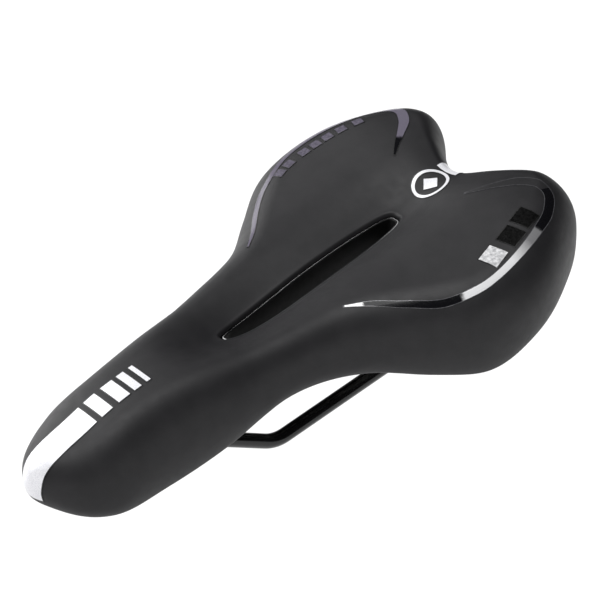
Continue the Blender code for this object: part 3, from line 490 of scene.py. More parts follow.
class Look:
    """A procedural material: a Principled shader with helpers for its noise, colour and bump."""

    def __init__(self, name, roughness, **sockets):
        self.material = bpy.data.materials.new(name)
        self.material.use_nodes = True
        self.tree = self.material.node_tree
        self.shader = self.tree.nodes["Principled BSDF"]
        fill(self.shader, dict(Roughness=roughness, **sockets))
        self.place = self.add("ShaderNodeTexCoord").outputs["Object"]

    def add(self, kind, **sockets):
        node = self.tree.nodes.new(kind)
        fill(node, sockets)
        return node

    def link(self, source, target):
        self.tree.links.new(source, target)

    def noise(self, size, detail=2.0, stretch=None):
        """Noise whose features are about size millimetres across, optionally stretched."""
        node = self.add("ShaderNodeTexNoise", Scale=1 / (size * MM), Detail=detail)
        place = self.place
        if stretch:
            mapping = self.add("ShaderNodeMapping", Scale=stretch)
            self.link(place, mapping.inputs["Vector"])
            place = mapping.outputs["Vector"]
        self.link(place, node.inputs["Vector"])
        return node.outputs["Fac"]

    def cells(self, size):
        """Distance from the middle of cells that are about size millimetres across."""
        node = self.add("ShaderNodeTexVoronoi", Scale=1 / (size * MM))
        self.link(self.place, node.inputs["Vector"])
        return node.outputs["Distance"]

    def mapped(self, value, low, high):
        """A noise stretched to run from low to high."""
        least, most = NOISE_RANGE
        node = self.add("ShaderNodeMapRange", From_Min=least, From_Max=most, To_Min=low, To_Max=high)
        self.link(value, node.inputs["Value"])
        return node.outputs["Result"]

    def ramp(self, value, stops):
        node = self.add("ShaderNodeValToRGB")
        while len(node.color_ramp.elements) < len(stops):
            node.color_ramp.elements.new(0.5)
        for element, (position, colour) in zip(node.color_ramp.elements, stops):
            element.position = position
            element.color = (*colour, 1.0)
        self.link(value, node.inputs["Fac"])
        return node.outputs["Color"]

    def colour(self, source):
        self.link(source, self.shader.inputs["Base Color"])

    def mottled(self, value, dark, light, span=NOISE_RANGE):
        """Colour that drifts between two shades."""
        self.colour(self.ramp(value, [(span[0], dark), (span[1], light)]))

    def varied(self, size, low, high):
        """Roughness that drifts between two values."""
        self.link(self.mapped(self.noise(size), low, high), self.shader.inputs["Roughness"])

    def bump(self, *layers):
        """Stack (height, strength, depth in millimetres) layers of relief."""
        normal = None
        for height, strength, depth in layers:
            node = self.add("ShaderNodeBump", Strength=strength, Distance=depth * MM)
            self.link(height, node.inputs["Height"])
            if normal:
                self.link(normal, node.inputs["Normal"])
            normal = node.outputs["Normal"]
        self.link(normal, self.shader.inputs["Normal"])


def skin_look(name="soft_touch_skin"):
    """Soft-touch polyurethane: a very fine leather grain with pores, nearly matt, with a soft sheen."""
    look = Look(name, 0.52, Specular_IOR_Level=0.29)
    look.mottled(look.noise(9.0, 3.0), (0.0085, 0.0083, 0.0095), (0.0120, 0.0116, 0.0130))
    look.varied(4.0, 0.49, 0.55)
    creases, pores, grain = look.noise(18.0), look.cells(0.55), look.noise(0.25, 3.0)
    look.bump((creases, 0.20, 0.25), (pores, 0.35, 0.05), (grain, 0.25, 0.02))
    return look.material


def foam_look():
    look = Look("moulded_foam", 0.95)
    look.mottled(look.noise(3.0, 4.0), (0.26, 0.26, 0.25), (0.38, 0.38, 0.36))
    look.bump((look.cells(0.8), 0.8, 0.3))
    return look.material


def gel_look():
    look = Look("soft_gel", 0.2, Coat_Weight=0.3)
    look.mottled(look.noise(12.0), (0.07, 0.22, 0.50), (0.13, 0.34, 0.62))
    look.bump((look.noise(5.0), 0.3, 0.3))
    return look.material


def moulding_look():
    """Glass-filled nylon: spark-eroded texture with faint flow streaks."""
    look = Look("moulded_nylon", 0.5, Specular_IOR_Level=0.4)
    streaks = look.noise(6.0, 3.0, stretch=(1.0, 0.18, 1.0))
    look.mottled(streaks, (0.012, 0.012, 0.013), (0.024, 0.024, 0.026))
    look.varied(2.5, 0.40, 0.58)
    look.bump((look.noise(0.5, 3.0), 0.5, 0.06))
    return look.material


def trim_look(name, dark, light):
    """Satin moulding with hardly any texture."""
    look = Look(name, 0.5, Specular_IOR_Level=0.15)
    look.mottled(look.noise(8.0), dark, light)
    look.varied(3.0, 0.42, 0.58)
    look.bump((look.noise(3.0), 0.15, 0.05))
    return look.material


def rail_look():
    """Gloss black coating on steel, with the slight orange peel of a sprayed coat."""
    look = Look("coated_steel", 0.2, Specular_IOR_Level=0.3, Coat_Weight=0.25, Coat_Roughness=0.05)
    look.mottled(look.noise(5.0, 3.0), (0.0015, 0.0015, 0.0015), (0.003, 0.003, 0.0035))
    look.varied(2.0, 0.16, 0.24)
    look.bump((look.noise(1.4, 2.0), 0.12, 0.03), (look.noise(12.0), 0.15, 0.08))
    return look.material


def zinc_look():
    look = Look("zinc_plate", 0.35, Metallic=1.0)
    look.mottled(look.noise(1.5, 3.0), (0.42, 0.43, 0.45), (0.62, 0.62, 0.60))
    look.varied(0.8, 0.28, 0.45)
    look.bump((look.noise(0.3, 2.0), 0.3, 0.02))
    return look.material


def white_film_look():
    """Silvery white reflective film with a fine glitter."""
    look = Look("reflective_film", 0.35, Coat_Weight=0.3, Coat_Roughness=0.2, Metallic=0.15)
    flakes = [(0.05, (0.86, 0.86, 0.88)), (0.5, (0.69, 0.69, 0.72)), (1.0, (0.60, 0.60, 0.64))]
    look.colour(look.ramp(look.cells(0.4), flakes))
    look.varied(0.7, 0.28, 0.45)
    look.bump((look.cells(0.3), 0.25, 0.02))
    return look.material


def keyline_look():
    look = Look("film_keyline", 0.3)
    look.mottled(look.noise(2.0), (0.004, 0.004, 0.004), (0.008, 0.008, 0.008))
    look.varied(1.0, 0.25, 0.4)
    look.bump((look.noise(0.5), 0.2, 0.01))
    return look.material


def arc_look(name, zones):
    """Smooth film whose colour changes along the arc, at (share of its length, colour) stops: print, and on
    the left arc a painted reflection too.
    """
    # little gloss of its own, so that the painted reflection on the left arc stands in for a real one
    look = Look(name, 0.15, Specular_IOR_Level=0.09, Coat_Weight=0.03, Coat_Roughness=0.05)
    uv = look.add("ShaderNodeTexCoord").outputs["UV"]
    split = look.add("ShaderNodeSeparateXYZ")
    look.link(uv, split.inputs["Vector"])
    wobble = look.add("ShaderNodeMath")
    wobble.operation = "MULTIPLY_ADD"
    wobble.inputs[1].default_value = STOP_WOBBLE
    look.link(look.noise(1.2, 3.0), wobble.inputs[0])
    look.link(split.outputs["X"], wobble.inputs[2])
    look.colour(look.ramp(wobble.outputs["Value"], zones))
    look.link(look.mapped(look.noise(0.8, 3.0), 0.12, 0.30), look.shader.inputs["Roughness"])
    look.bump((look.noise(0.5, 2.0), 0.2, 0.02))
    return look.material


def block_look(name, dark, light):
    """Smooth print that is a little cloudy."""
    look = Look(name, 0.18, Specular_IOR_Level=0.3, Coat_Weight=0.1, Coat_Roughness=0.06)
    look.mottled(look.noise(1.5, 3.0), dark, light, span=(0.35, 0.65))
    look.varied(0.8, 0.12, 0.28)
    look.bump((look.noise(0.5, 2.0), 0.2, 0.02))
    return look.material


# ------------ cover, padding, base

def base_rows(lift, rim_rings=8, steps=12):
    """Rings on the top of the base from its rim to the slot, raised by lift."""
    rows = []
    for share in np.linspace(0, 1, rim_rings):
        plan = rim_track(share)
        rows.append(row(plan, base_top(*plan.T) + lift))
    for i in range(1, steps + 1):
        step = plan + (BASE_HOLE - plan) * i / steps
        rows.append(row(step, base_top(*step.T) + lift))
    return rows


def moved_in(rows, distance):
    """Rings moved along the skin's normal towards its inner side."""
    points = np.stack(rows)
    around = np.roll(points, -1, axis=1) - np.roll(points, 1, axis=1)
    normal = unit(np.cross(np.gradient(points, axis=0), around))
    if normal[len(rows) // 2, :, 2].mean() < 0:
        normal = -normal
    return list(points - normal * distance)


def make_cover():
    """The moulded skin, and its outer surface for laying films on."""
    rows = cover_rows()
    cover = add_rings("padded_cover", rows, skin_look(), closed_section=False, sharp_degrees=180)
    points = [Vector(point) for point in np.concatenate(rows)]
    tree = BVHTree.FromPolygons(points, [tuple(face.vertices) for face in cover.data.polygons])
    solid = cover.modifiers.new("thickness", "SOLIDIFY")
    solid.thickness = COVER * MM
    solid.offset = -1
    settle(cover)
    stands_for(cover, "cover")
    return tree


def settle(piece):
    """Apply a piece's modifiers."""
    mesh = bpy.data.meshes.new_from_object(piece.evaluated_get(bpy.context.evaluated_depsgraph_get()))
    piece.modifiers.clear()
    piece.data = mesh


def boolean(target, helper, operation):
    step = target.modifiers.new(helper.name, "BOOLEAN")
    step.object = helper
    step.operation = operation
    settle(target)
    bpy.data.objects.remove(helper, do_unlink=True)


def add_prism(name, outline, bottom, top):
    """Straight prism over a plan outline, with flat ends at two heights."""
    count = len(outline)
    points = [(x, s, bottom) for x, s in outline] + [(x, s, top) for x, s in outline]
    faces = [list(range(count)), list(range(count, 2 * count))]
    faces += [[i, (i + 1) % count, (i + 1) % count + count, i + count] for i in range(count)]
    return add_piece(name, points, faces, None)


GEL_CENTRE, GEL_HALF_SIZE, GEL_TURN, GEL_DEPTH = (43.0, 216.0), (19.0, 34.0), 16.0, 9.0
GEL_CORNERS = 72
FOAM_GAP = 0.45  # between the foam and the cover


def gel_bay(side, grow):
    """Plan outline of a gel insert, turned a little outward to the rear."""
    turn = math.radians(GEL_TURN)
    outline = []
    for t in np.linspace(0, 2 * math.pi, GEL_CORNERS, endpoint=False):
        a, b = math.cos(t) * (GEL_HALF_SIZE[0] + grow), math.sin(t) * (GEL_HALF_SIZE[1] + grow)
        x = GEL_CENTRE[0] + a * math.cos(turn) + b * math.sin(turn)
        outline.append((side * x, GEL_CENTRE[1] - a * math.sin(turn) + b * math.cos(turn)))
    return outline


def make_padding():
    wall, inner = slot_wall_rows(wall_steps=2, lip_steps=5)
    skin = wall + top_rows(inner, steps=14) + roll_rows(steps=12) + skirt_rows(PADDING_FOOT, steps=4)
    rows = moved_in(skin, COVER + FOAM_GAP)[1:] + base_rows(GAP, rim_rings=5, steps=8)
    foam = add_rings("foam_core", rows, foam_look())
    blue = gel_look()
    floor = top_height(*GEL_CENTRE) - COVER - FOAM_GAP - GEL_DEPTH
    for side, label in ((1, "left"), (-1, "right")):
        gel = add_rings(f"gel_pad_{label}", rows, blue)
        boolean(gel, add_prism("bay", gel_bay(side, 0), floor, CLEAR_OF_TOP), "INTERSECT")
        boolean(foam, add_prism("bay", gel_bay(side, GAP), floor - GAP, CLEAR_OF_TOP), "DIFFERENCE")
        stands_for(gel, f"gel_insert_{label}")
    stands_for(foam, "foam_pad")


RAIL_RADIUS, RAIL_SIDES, DEGREES_PER_STEP = 3.5, 48, 4
RAIL_HALF_GAUGE = 22.0
RAIL_END = (32.0, 240.0, 32.0)
RAIL_BENDS = [  # corner of the centre line on the left side, bend radius
    ((9.0, 42.0, 24.0), 9.0), ((15.0, 77.0, 24.0), 20.0), ((RAIL_HALF_GAUGE, 114.5, 0.0), 20.0),
    ((RAIL_HALF_GAUGE, 192.0, 0.0), 20.0),
]
CHANNEL = SimpleNamespace(clearance=0.35, past_end=1.0, sides=32, degrees=5)  # moulded round the rail
RIBS = [  # under the left half of the base: start x and s, end x and s, depth
    ((14.5, 90), (26.5, 226), 5.0), ((21, 165), (31, 164), 4.0), ((23.3, 190), (50, 192), 4.0),
    ((37, 228), (56, 232), 4.0),
]
RIB_THICKNESS = 2.4
CENTRE_RIB, CENTRE_RIB_DEPTH = ((0, 61), (0, 102)), 4.0
SOCKET = SimpleNamespace(inner=23.5, outer=40.0, front=226, rear=247, under_rail=6.0)
BLOCK = SimpleNamespace(half_width=17.5, front=39.0, rear=62.0, foot=20.5)
ROOT_SHARE = SimpleNamespace(rib=0.55, block=0.5, socket=0.6)  # of the base's thickness, where each starts
WEB_STEPS = SimpleNamespace(rib=40, centre_rib=16, block=12, socket=10)
MOULDED_SHARP = 40  # degrees from which its edges look sharp
SCREW_S = (50.5, 57.5)
PILOT = SimpleNamespace(radius=1.9, foot=10.0, tip=27.3, sides=32)  # hole for each screw


def rail_path(degrees, end_extra=0.0):
    """Centre line of the rail from one rear end round the nose to the other."""
    corners = [Vector(corner) for corner, _ in RAIL_BENDS]
    radii = [radius for _, radius in RAIL_BENDS]
    end = Vector(RAIL_END)
    corners.append(end + (end - corners[-1]).normalized() * end_extra)
    corners = [Matrix.Diagonal((-1, 1, 1)) @ corner for corner in reversed(corners)] + corners
    radii = radii[::-1] + radii
    path = [corners[0]]
    for last, corner, following, radius in zip(corners, corners[1:], corners[2:], radii):
        before, after = (last - corner).normalized(), (following - corner).normalized()
        half = before.angle(after) / 2
        reach = radius / math.tan(half)
        centre = corner + (before + after).normalized() * radius / math.sin(half)
        start = (corner + before * reach - centre).normalized()
        finish = (corner + after * reach - centre).normalized()
        steps = max(2, round(math.degrees(math.pi - 2 * half) / degrees))
        path += [centre + start.slerp(finish, k / steps) * radius for k in range(steps + 1)]
    return path + [corners[-1]]


def add_tube(name, path, radius, sides, look=None):
    points = []
    for i, centre in enumerate(path):
        ahead = (path[min(i + 1, len(path) - 1)] - path[max(i - 1, 0)]).normalized()
        across = ahead.cross(Vector((0, 0, 1))).normalized()
        upward = across.cross(ahead)
        for k in range(sides):
            angle = 2 * math.pi * (k + 0.5) / sides
            points.append(centre + across * radius * math.sin(angle) + upward * radius * math.cos(angle))
    faces = grid_faces(len(path), sides, False)
    faces += [list(range(sides)), list(range(len(points) - sides, len(points)))]
    return add_piece(name, points, faces, look)


def slab_faces(along, across):
    """Faces of a closed plate of two grids: those below, those above, then those round the edge."""
    count = along * across
    quads = [(i * across + j, i * across + j + 1, (i + 1) * across + j + 1, (i + 1) * across + j)
             for i in range(along - 1) for j in range(across - 1)]
    edge = list(range(across))
    edge += [i * across + across - 1 for i in range(1, along)]
    edge += [(along - 1) * across + j for j in range(across - 2, -1, -1)]
    edge += [i * across for i in range(along - 2, 0, -1)]
    above = [tuple(count + k for k in reversed(quad)) for quad in quads]
    round_edge = [(a, b, b + count, a + count) for a, b in zip(edge, edge[1:] + edge[:1])]
    return quads + above + round_edge


def add_web(plan, foot, root_share):
    """Body hanging from inside the base down to foot: plan is a grid (along, across, 2)."""
    x, s = plan[..., 0], plan[..., 1]
    root = base_top(x, s) - BASE_THICKNESS * root_share
    levels = (np.broadcast_to(foot, x.shape), root)
    points = [np.stack([x, s, level], axis=-1).reshape(-1, 3) for level in levels]
    return add_piece("web", np.concatenate(points), slab_faces(*plan.shape[:2]), None)


def add_rib(start, end, depth, steps):
    """Straight rib of even depth under the base."""
    start, end = np.array(start, float), np.array(end, float)
    along = unit(end - start)
    side = np.array([along[1], -along[0]]) * RIB_THICKNESS / 2
    centre = start + (end - start) * np.linspace(0, 1, steps + 1)[:, None]
    plan = np.stack([centre - side, centre + side], axis=1)
    foot = base_top(plan[..., 0], plan[..., 1]) - BASE_THICKNESS - depth
    return add_web(plan, foot, ROOT_SHARE.rib)


def block_plan(x_range, s_range, steps):
    x, s = np.linspace(*x_range, steps + 1), np.linspace(*s_range, steps + 1)
    return np.stack(np.meshgrid(x, s), axis=-1)


def rail_height(s):
    """Centre height of the rail's rear leg."""
    corner = RAIL_BENDS[-1][0]
    return (s - corner[1]) * (RAIL_END[2] - corner[2]) / (RAIL_END[1] - corner[1])


def make_base():
    """The moulded base with its nose block, rear sockets, ribs and channels for the rail."""
    rows = base_rows(0.0) + base_rows(-BASE_THICKNESS)[::-1]
    base = add_rings("base_moulding", rows, moulding_look(), sharp_degrees=MOULDED_SHARP)
    nose = block_plan((-BLOCK.half_width, BLOCK.half_width), (BLOCK.front, BLOCK.rear), WEB_STEPS.block)
    boolean(base, add_web(nose, BLOCK.foot, ROOT_SHARE.block), "UNION")
    for side in (1, -1):
        across = sorted((side * SOCKET.inner, side * SOCKET.outer))
        socket = block_plan(across, (SOCKET.front, SOCKET.rear), WEB_STEPS.socket)
        foot = rail_height(socket[..., 1]) - SOCKET.under_rail
        boolean(base, add_web(socket, foot, ROOT_SHARE.socket), "UNION")
        for start, end, depth in RIBS:
            start, end = (side * start[0], start[1]), (side * end[0], end[1])
            boolean(base, add_rib(start, end, depth, WEB_STEPS.rib), "UNION")
    boolean(base, add_rib(*CENTRE_RIB, CENTRE_RIB_DEPTH, WEB_STEPS.centre_rib), "UNION")
    path = rail_path(CHANNEL.degrees, CHANNEL.past_end)
    boolean(base, add_tube("channel", path, RAIL_RADIUS + CHANNEL.clearance, CHANNEL.sides), "DIFFERENCE")
    turns = np.linspace(0, 2 * math.pi, PILOT.sides, endpoint=False)
    for s in SCREW_S:
        outline = [(PILOT.radius * math.cos(t), s + PILOT.radius * math.sin(t)) for t in turns]
        boolean(base, add_prism("pilot", outline, PILOT.foot, PILOT.tip), "DIFFERENCE")
    base.data.set_sharp_from_angle(angle=math.radians(MOULDED_SHARP))
    stands_for(base, "base_shell")


TRIM = SimpleNamespace(gap=0.45, wall=1.3, bead=0.5, below_lip=2.0, flange=5.0, slack=0.2, sharp=50)
BEAD_RINGS, PAINTED_HIGHLIGHT_RINGS = 9, {5, 6}  # rings over the bead, and those that bound the painted highlight along its top
OUTER_SHARES, INNER_SHARES = (0.3, 0.6, 1.0), (0, 0.33, 0.66)  # heights of the rings on the two walls


def make_slot_trim():
    """Collar that lines the slot, with a painted highlight along the top of its bead and a flange under the
    base.
    """
    outer, inner = half_slot(TRIM.gap), half_slot(TRIM.gap + TRIM.wall)
    middle, half = (outer + inner) / 2, (outer - inner) / 2
    flange = SLOT + SLOT_OUTWARD * TRIM.flange
    lip_plan = SLOT + SLOT_OUTWARD * SLOT_LIP_RADIUS
    lip = top_height(*lip_plan.T) - TRIM.below_lip
    under = base_top(*flange.T) - BASE_THICKNESS - GAP - TRIM.slack
    foot = under - TRIM.wall
    rows = []
    for angle in np.linspace(math.pi, 0, BEAD_RINGS):
        rows.append(row(middle + half * math.cos(angle), lip - TRIM.bead * (1 - math.sin(angle))))
    rows += [row(outer, lip + (under - lip) * share) for share in OUTER_SHARES]
    rows += [row(flange, under), row(flange, foot)]
    rows += [row(inner, foot + (lip - TRIM.bead - foot) * share) for share in INNER_SHARES]
    dark = trim_look("collar", (0.004, 0.004, 0.004), (0.008, 0.008, 0.009))
    collar = add_rings("slot_collar", rows, dark, sharp_degrees=TRIM.sharp)
    # light colour on the top rings of the bead: a painted highlight, standing in for the light that its
    # rounded edge catches
    collar.data.materials.append(trim_look("collar_painted_highlight", (0.60, 0.60, 0.61), (0.80, 0.80, 0.81)))
    count = len(rows[0])
    for face in collar.data.polygons:
        face.material_index = int({v // count for v in face.vertices} <= PAINTED_HIGHLIGHT_RINGS)
    stands_for(collar, "slot_trim")


# ------------ films on the cover

FILM_LIFT, FILM, KEYLINE = 0.06, 0.14, 0.4  # height over the cover, thickness, border
# Stripes that wrap over an end: s and z of the axis, half width, angles from the rear horizontal
NOSE_STRIPE = SimpleNamespace(axis=(36.0, 36.0), half_width=6.6, angles=(90.0, 182.0), steps=70)
REAR_STRIP = SimpleNamespace(axis=(246.0, 52.0), half_width=6.2, angles=(68.0, 4.0), steps=40)
STRIPE_REACH = 80.0  # from the axis to where they are laid on from
STRIPE_RADIUS, STRIPE_ACROSS = 25.0, 15  # about how far the cover is from the axis; columns
BARS = [(39.0, 45.0), (48.5, 54.7), (57.2, 61.1), (64.0, 66.2)]
BADGE_CENTRE, BADGE_HALF_SIZE, BADGE_LINE, BADGE_DOT = (0.0, 240.6), (8.7, 9.2), 1.5, 3.2
BADGE_POINTS, BADGE_WHITE = 96, ({6, 7}, {7, 8})  # and the pairs of rings with the white between them
ARC_PATH = [  # x, s, half width
    (32.3, 154.5, 0.3), (39.2, 163.4, 0.9), (51.3, 175.2, 1.2), (63.9, 189.1, 1.3), (70.0, 203.9, 1.4),
    (70.8, 213.7, 1.4), (70.2, 222.8, 1.5), (65.8, 243.4, 1.7), (59.8, 257.0, 1.9), (51.5, 264.9, 2.2),
    (45.3, 265.3, 2.5), (39.7, 262.2, 2.6), (32.0, 252.7, 1.7), (27.6, 246.0, 1.0), (23.2, 240.0, 0.3),
]
RIGHT_ARC_INWARD = SimpleNamespace(most=3.3, s=195.0, reach=16.0)  # it lies further in than the left one
ARC = SimpleNamespace(stations=221, columns=7, least_half=0.15, border=0.25)
# The silver and the grey are painted reflection: the bright light above, as the glossy black film of the left
# arc reflects it.
PAINTED_REFLECTION_SILVER, BLACK, LILAC = (0.62, 0.62, 0.63), (0.004, 0.004, 0.005), (0.11, 0.10, 0.13)
PAINTED_REFLECTION_GREY, TIP = (0.16, 0.16, 0.165), (0.9, 0.9, 0.9)
LEFT_PRINT_AND_PAINTED_REFLECTION = [  # share of the arc's length, colour
    (0.0, TIP), (0.055, TIP), (0.062, BLACK), (0.315, BLACK), (0.325, PAINTED_REFLECTION_SILVER), (0.49, PAINTED_REFLECTION_SILVER), (0.57, PAINTED_REFLECTION_GREY),
    (0.615, PAINTED_REFLECTION_GREY), (0.622, BLACK),
]
LEFT_COLOUR_END = 0.77
RIGHT_PRINT = [(0.0, LILAC), (0.925, LILAC), (0.935, BLACK), (1.0, BLACK)]
BLOCK_CENTRES = [(62.4, 218.6), (60.2, 232.4), (57.0, 244.4)]
BLOCK_SIZE, BLOCK_TURN = (9.5, 9.6), 12.0
DASHES_S = (200.5, 207.5, 217.5, 224.5, 231.5, 239.0, 247.5)  # in a row inside the right arc
DASH_INSET, DASH_SIZE = 7.6, (4.6, 5.0)


def lay(tree, origins, directions):
    """Where rays meet the skin, lifted off it to the two faces of a film."""
    low, high = np.empty_like(origins), np.empty_like(origins)
    for index in np.ndindex(origins.shape[:-1]):
        way = Vector(directions[index])
        spot, normal, _, _ = tree.ray_cast(Vector(origins[index]), way)
        if normal.dot(way) > 0:
            normal = -normal
        low[index], high[index] = spot + normal * FILM_LIFT, spot + normal * (FILM_LIFT + FILM)
    return low, high


def lay_down(tree, plan):
    """The two faces of a film over plan points, laid on the cover from above."""
    above = np.concatenate([plan, np.full(plan.shape[:-1] + (1,), CLEAR_OF_TOP)], axis=-1)
    return lay(tree, above, np.broadcast_to([0.0, 0.0, -1.0], above.shape))


def add_film(name, faces_of_film, looks, node):
    """Closed film; the border of its grid has the second look. UVs run along and across it."""
    low, high = faces_of_film
    along, across = low.shape[:2]
    points = np.concatenate([low.reshape(-1, 3), high.reshape(-1, 3)])
    piece = add_piece(name, points, slab_faces(along, across), looks[0])
    mesh = piece.data
    mesh.materials.append(looks[1])
    uv = mesh.uv_layers.new(name="film")
    for face in mesh.polygons:
        cells = [divmod(v % (along * across), across) for v in face.vertices]
        for loop, (i, j) in zip(face.loop_indices, cells):
            uv.data[loop].uv = (i / (along - 1), j / (across - 1))
        border = any(i in (0, along - 1) or j in (0, across - 1) for i, j in cells)
        face.material_index = int(border)
    return stands_for(piece, node)


def with_keyline(values):
    return np.concatenate([[values[0] - KEYLINE], values, [values[-1] + KEYLINE]])


def wrapped(tree, stripe):
    """Film that wraps round a crosswise axis inside the saddle, over one of its ends."""
    angles = np.linspace(*stripe.angles, stripe.steps + 1)
    ends = math.degrees(KEYLINE / STRIPE_RADIUS) * np.sign(angles[-1] - angles[0])
    angles = np.radians(np.concatenate([[angles[0] - ends], angles, [angles[-1] + ends]]))
    across = with_keyline(np.linspace(-stripe.half_width, stripe.half_width, STRIPE_ACROSS))
    outward = np.stack([np.zeros_like(angles), np.cos(angles), np.sin(angles)], axis=-1)
    outward = np.repeat(outward[:, None], len(across), axis=1)
    axis = np.zeros_like(outward)
    axis[..., 0] = across
    axis[..., 1:] = stripe.axis
    return lay(tree, axis + outward * STRIPE_REACH, -outward)


def quad_plan(centre, size, turn, steps):
    """Plan grid of a rectangle turned by some degrees: size and steps are across and along."""
    sides = [with_keyline(np.linspace(-side / 2, side / 2, n + 1)) for side, n in zip(size, steps)]
    across, along = np.meshgrid(*sides)
    c, s = math.cos(math.radians(turn)), math.sin(math.radians(turn))
    return np.stack([centre[0] + across * c - along * s, centre[1] + across * s + along * c], axis=-1)


def make_badge(tree, looks):
    """A plain oval ring with a diamond in it."""
    reaches = np.array([KEYLINE, 0, -BADGE_LINE / 2, -BADGE_LINE, -BADGE_LINE - KEYLINE])
    turns = np.linspace(0, 2 * math.pi, BADGE_POINTS, endpoint=False)
    circle = np.stack([np.cos(turns), np.sin(turns)], axis=1)
    plan = BADGE_CENTRE + circle * (np.array(BADGE_HALF_SIZE) + reaches[:, None, None])
    low, high = lay_down(tree, plan)
    ring = add_rings("badge_outline", [*low, *high[::-1]], looks[0])
    ring.data.materials.append(looks[1])
    for face in ring.data.polygons:
        rings = {v // BADGE_POINTS for v in face.vertices}
        face.material_index = int(rings not in BADGE_WHITE)
    stands_for(ring, "badge_ring")
    diamond = quad_plan(BADGE_CENTRE, (2 * BADGE_DOT, 2 * BADGE_DOT), 45, (6, 6))
    add_film("badge_diamond", lay_down(tree, diamond), looks, "badge_centre")


def arc_track(count=200):
    """Evenly spaced x, s and half width along the left arc."""
    path = np.array(ARC_PATH, float)
    knots = length_along(path[:, :2])
    return spline(knots, path, np.linspace(0, knots[-1], count))


def dash_places():
    """Centre and turn of each dash in the row that follows the right arc."""
    track = arc_track()
    outer = track[:int(track[:, 1].argmax())]  # its part on the outer side of the lobe
    for s in DASHES_S:
        i = int(np.abs(outer[:, 1] - s).argmin())
        ahead = outer[i + 1] - outer[i - 1]
        turn = math.degrees(math.atan2(ahead[0], ahead[1]))
        yield (DASH_INSET - outer[i, 0], s), turn


def make_arc(tree, side, label, looks, coloured_to=1.0):
    """Swept film along the edge of a lobe, as dull as the cover past the share of it that carries colour
    stops.
    """
    track = arc_track(ARC.stations)
    if side < 0:
        offset = (track[:, 1] - RIGHT_ARC_INWARD.s) / RIGHT_ARC_INWARD.reach
        track[:, 0] -= RIGHT_ARC_INWARD.most * np.exp(-offset**2)
    along = unit(np.gradient(track[:, :2], axis=0))
    across = np.stack([along[:, 1], -along[:, 0]], axis=1)
    half = np.maximum(track[:, 2], ARC.least_half)[:, None]
    offsets = [-half - ARC.border, half * np.linspace(-1, 1, ARC.columns), half + ARC.border]
    offsets = np.concatenate(offsets, axis=1)
    plan = track[:, None, :2] + across[:, None] * offsets[..., None]
    faces = lay_down(tree, plan * np.array([side, 1]))
    film = add_film(f"lobe_arc_{label}", faces, looks, f"arc_{label}")
    if coloured_to < 1:
        film.data.materials.append(skin_look("unprinted_film"))
        for face in film.data.polygons:
            station = min(v % offsets.size // offsets.shape[1] for v in face.vertices)
            if station / (ARC.stations - 1) >= coloured_to and face.material_index == 0:
                face.material_index = 2


def make_marks(tree, line):
    """Plain blocks and dashes beside the arcs."""
    silver_block = block_look("silver_block", (0.32, 0.32, 0.33), (0.62, 0.62, 0.63))
    black_block = block_look("black_block", (0.002, 0.002, 0.002), (0.005, 0.005, 0.005))
    lilac_block = block_look("lilac_dash", (0.070, 0.064, 0.085), (0.115, 0.105, 0.135))
    for i, centre in enumerate(BLOCK_CENTRES):
        looks = (silver_block if i == 0 else black_block, line)
        faces = lay_down(tree, quad_plan(centre, BLOCK_SIZE, BLOCK_TURN, (10, 10)))
        add_film(f"plain_block_{i + 1}", faces, looks, f"mark_block_{i + 1}")
    for i, (centre, turn) in enumerate(dash_places()):
        faces = lay_down(tree, quad_plan(centre, DASH_SIZE, turn, (6, 6)))
        add_film(f"plain_dash_{i + 1}", faces, (lilac_block, line), f"mark_dash_{i + 1}")


def make_films(tree):
    white, line = white_film_look(), keyline_look()
    looks = (white, line)
    add_film("stripe_on_nose", wrapped(tree, NOSE_STRIPE), looks, "nose_stripe")
    add_film("strip_at_rear", wrapped(tree, REAR_STRIP), looks, "rear_strip")
    for i, (front, rear) in enumerate(BARS):
        plan = quad_plan((0, (front + rear) / 2), (2 * NOSE_STRIPE.half_width, rear - front), 0, (14, 6))
        add_film(f"bar_{i + 1}", lay_down(tree, plan), looks, f"nose_bar_{i + 1}")
    make_badge(tree, looks)
    near, far = arc_look("lobe_film_left", LEFT_PRINT_AND_PAINTED_REFLECTION), arc_look("lobe_film_right", RIGHT_PRINT)
    edge = block_look("film_edge", (0.05, 0.05, 0.055), (0.09, 0.09, 0.095))
    make_arc(tree, 1, "left", (near, edge), LEFT_COLOUR_END)
    make_arc(tree, -1, "right", (far, line))
    make_marks(tree, line)


# ------------ stage

FLOOR_DROP, FLOOR_HALF_SIDE = 330.0, 4000.0  # far below, so that no shadow shows
SURROUND_LIGHT = 0.03  # strength of the white surround as a light
VIEW = SimpleNamespace(azimuth=53.2, elevation=38.8, roll=-7.9, distance=980.8, target=(0.0, 155.9, 45.1),
                       focal=129.7, sensor=36, near_clip=0.05)
SOFT_LIGHTS = [  # azimuth, elevation (degrees), strength
    (315, 40, 1.80), (270, 40, 1.30), (270, 8, 0.75), (0, 90, 2.10), (45, 8, 0.55), (90, 8, 0.55),
    (0, 8, 0.21),
]
LIGHT_WIDTH = 28.0  # degrees that each light spans, as a softbox near the saddle would


def way_to(azimuth, elevation):
    """Unit vector towards a place round the saddle; azimuth 0 is ahead of the nose."""
    a, e = math.radians(azimuth), math.radians(elevation)
    return Vector((math.sin(a) * math.cos(e), -math.cos(a) * math.cos(e), math.sin(e)))


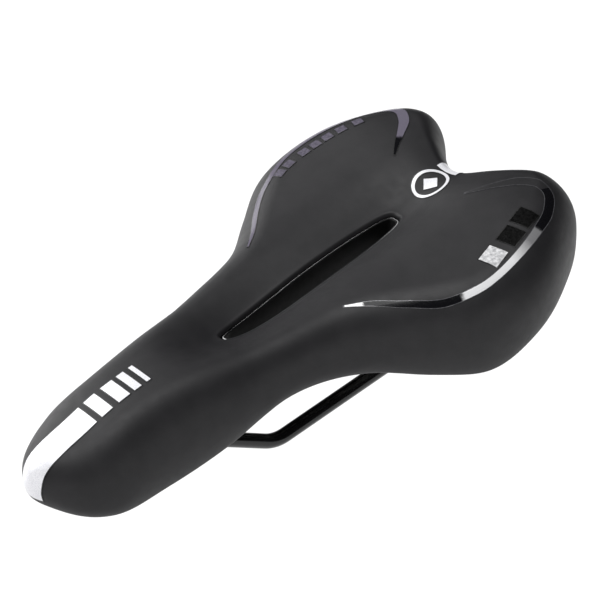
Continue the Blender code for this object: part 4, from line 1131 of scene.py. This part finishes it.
def make_camera():
    back = way_to(VIEW.azimuth, VIEW.elevation)
    right = way_to(VIEW.azimuth + 90, 0)
    up = back.cross(right)
    r = math.radians(VIEW.roll)
    right, up = right * math.cos(r) + up * math.sin(r), up * math.cos(r) - right * math.sin(r)
    camera = add_object("camera", bpy.data.cameras.new("camera"))
    place = Vector(world(VIEW.target)[0]) + back * VIEW.distance * MM
    camera.matrix_world = Matrix.Translation(place) @ Matrix((right, up, back)).transposed().to_4x4()
    camera.data.lens = VIEW.focal
    camera.data.sensor_width = VIEW.sensor
    camera.data.clip_start = VIEW.near_clip
    bpy.context.scene.camera = camera


def add_soft_light(azimuth, elevation, strength):
    light = bpy.data.lights.new("soft_light", "SUN")
    light.angle = math.radians(LIGHT_WIDTH)
    light.energy = strength
    lamp = add_object("soft_light", light)
    lamp.rotation_mode = "QUATERNION"
    lamp.rotation_quaternion = way_to(azimuth, elevation).to_track_quat("Z", "Y")


def make_surround():
    """White behind the saddle, but nearly dark as a light."""
    surround = bpy.data.worlds.new("surround")
    surround.use_nodes = True
    tree = surround.node_tree
    seen = tree.nodes.new("ShaderNodeLightPath").outputs["Is Camera Ray"]
    strength = tree.nodes.new("ShaderNodeMapRange")
    fill(strength, {"To_Min": SURROUND_LIGHT})
    tree.links.new(seen, strength.inputs["Value"])
    background = tree.nodes["Background"]
    fill(background, {"Color": (1.0, 1.0, 1.0, 1.0)})
    tree.links.new(strength.outputs["Result"], background.inputs["Strength"])
    bpy.context.scene.world = surround


def make_stage():
    """Pale floor well below the saddle, a white surround and soft light from all round."""
    paper = Look("pale_floor", 0.7)
    paper.mottled(paper.noise(60.0, 3.0), (0.77, 0.77, 0.775), (0.79, 0.79, 0.79))
    signs = [(-1, -1), (1, -1), (1, 1), (-1, 1)]
    corners = [(x * FLOOR_HALF_SIDE, s * FLOOR_HALF_SIDE, -FLOOR_DROP) for x, s in signs]
    floor = add_piece("floor", corners, [(0, 1, 2, 3)], paper.material, recalculate=False)
    for light in SOFT_LIGHTS:
        add_soft_light(*light)
    make_surround()
    bpy.context.scene.view_settings.view_transform = "Standard"


# ------------ assembly

skin_tree = make_cover()
make_padding()
make_base()
make_slot_trim()
rail_bar = add_tube("rail_bar", rail_path(DEGREES_PER_STEP), RAIL_RADIUS, RAIL_SIDES, rail_look())
stands_for(rail_bar, "rail")
make_films(skin_tree)

moulded, plated = moulding_look(), zinc_look()
for node, piece in frame["nodes"].items():
    if node.startswith(("nose_clamp", "nose_screw", "staple")):
        piece.data.materials.clear()
        piece.data.materials.append(moulded if node == "nose_clamp_plate" else plated)

make_camera()
make_stage()
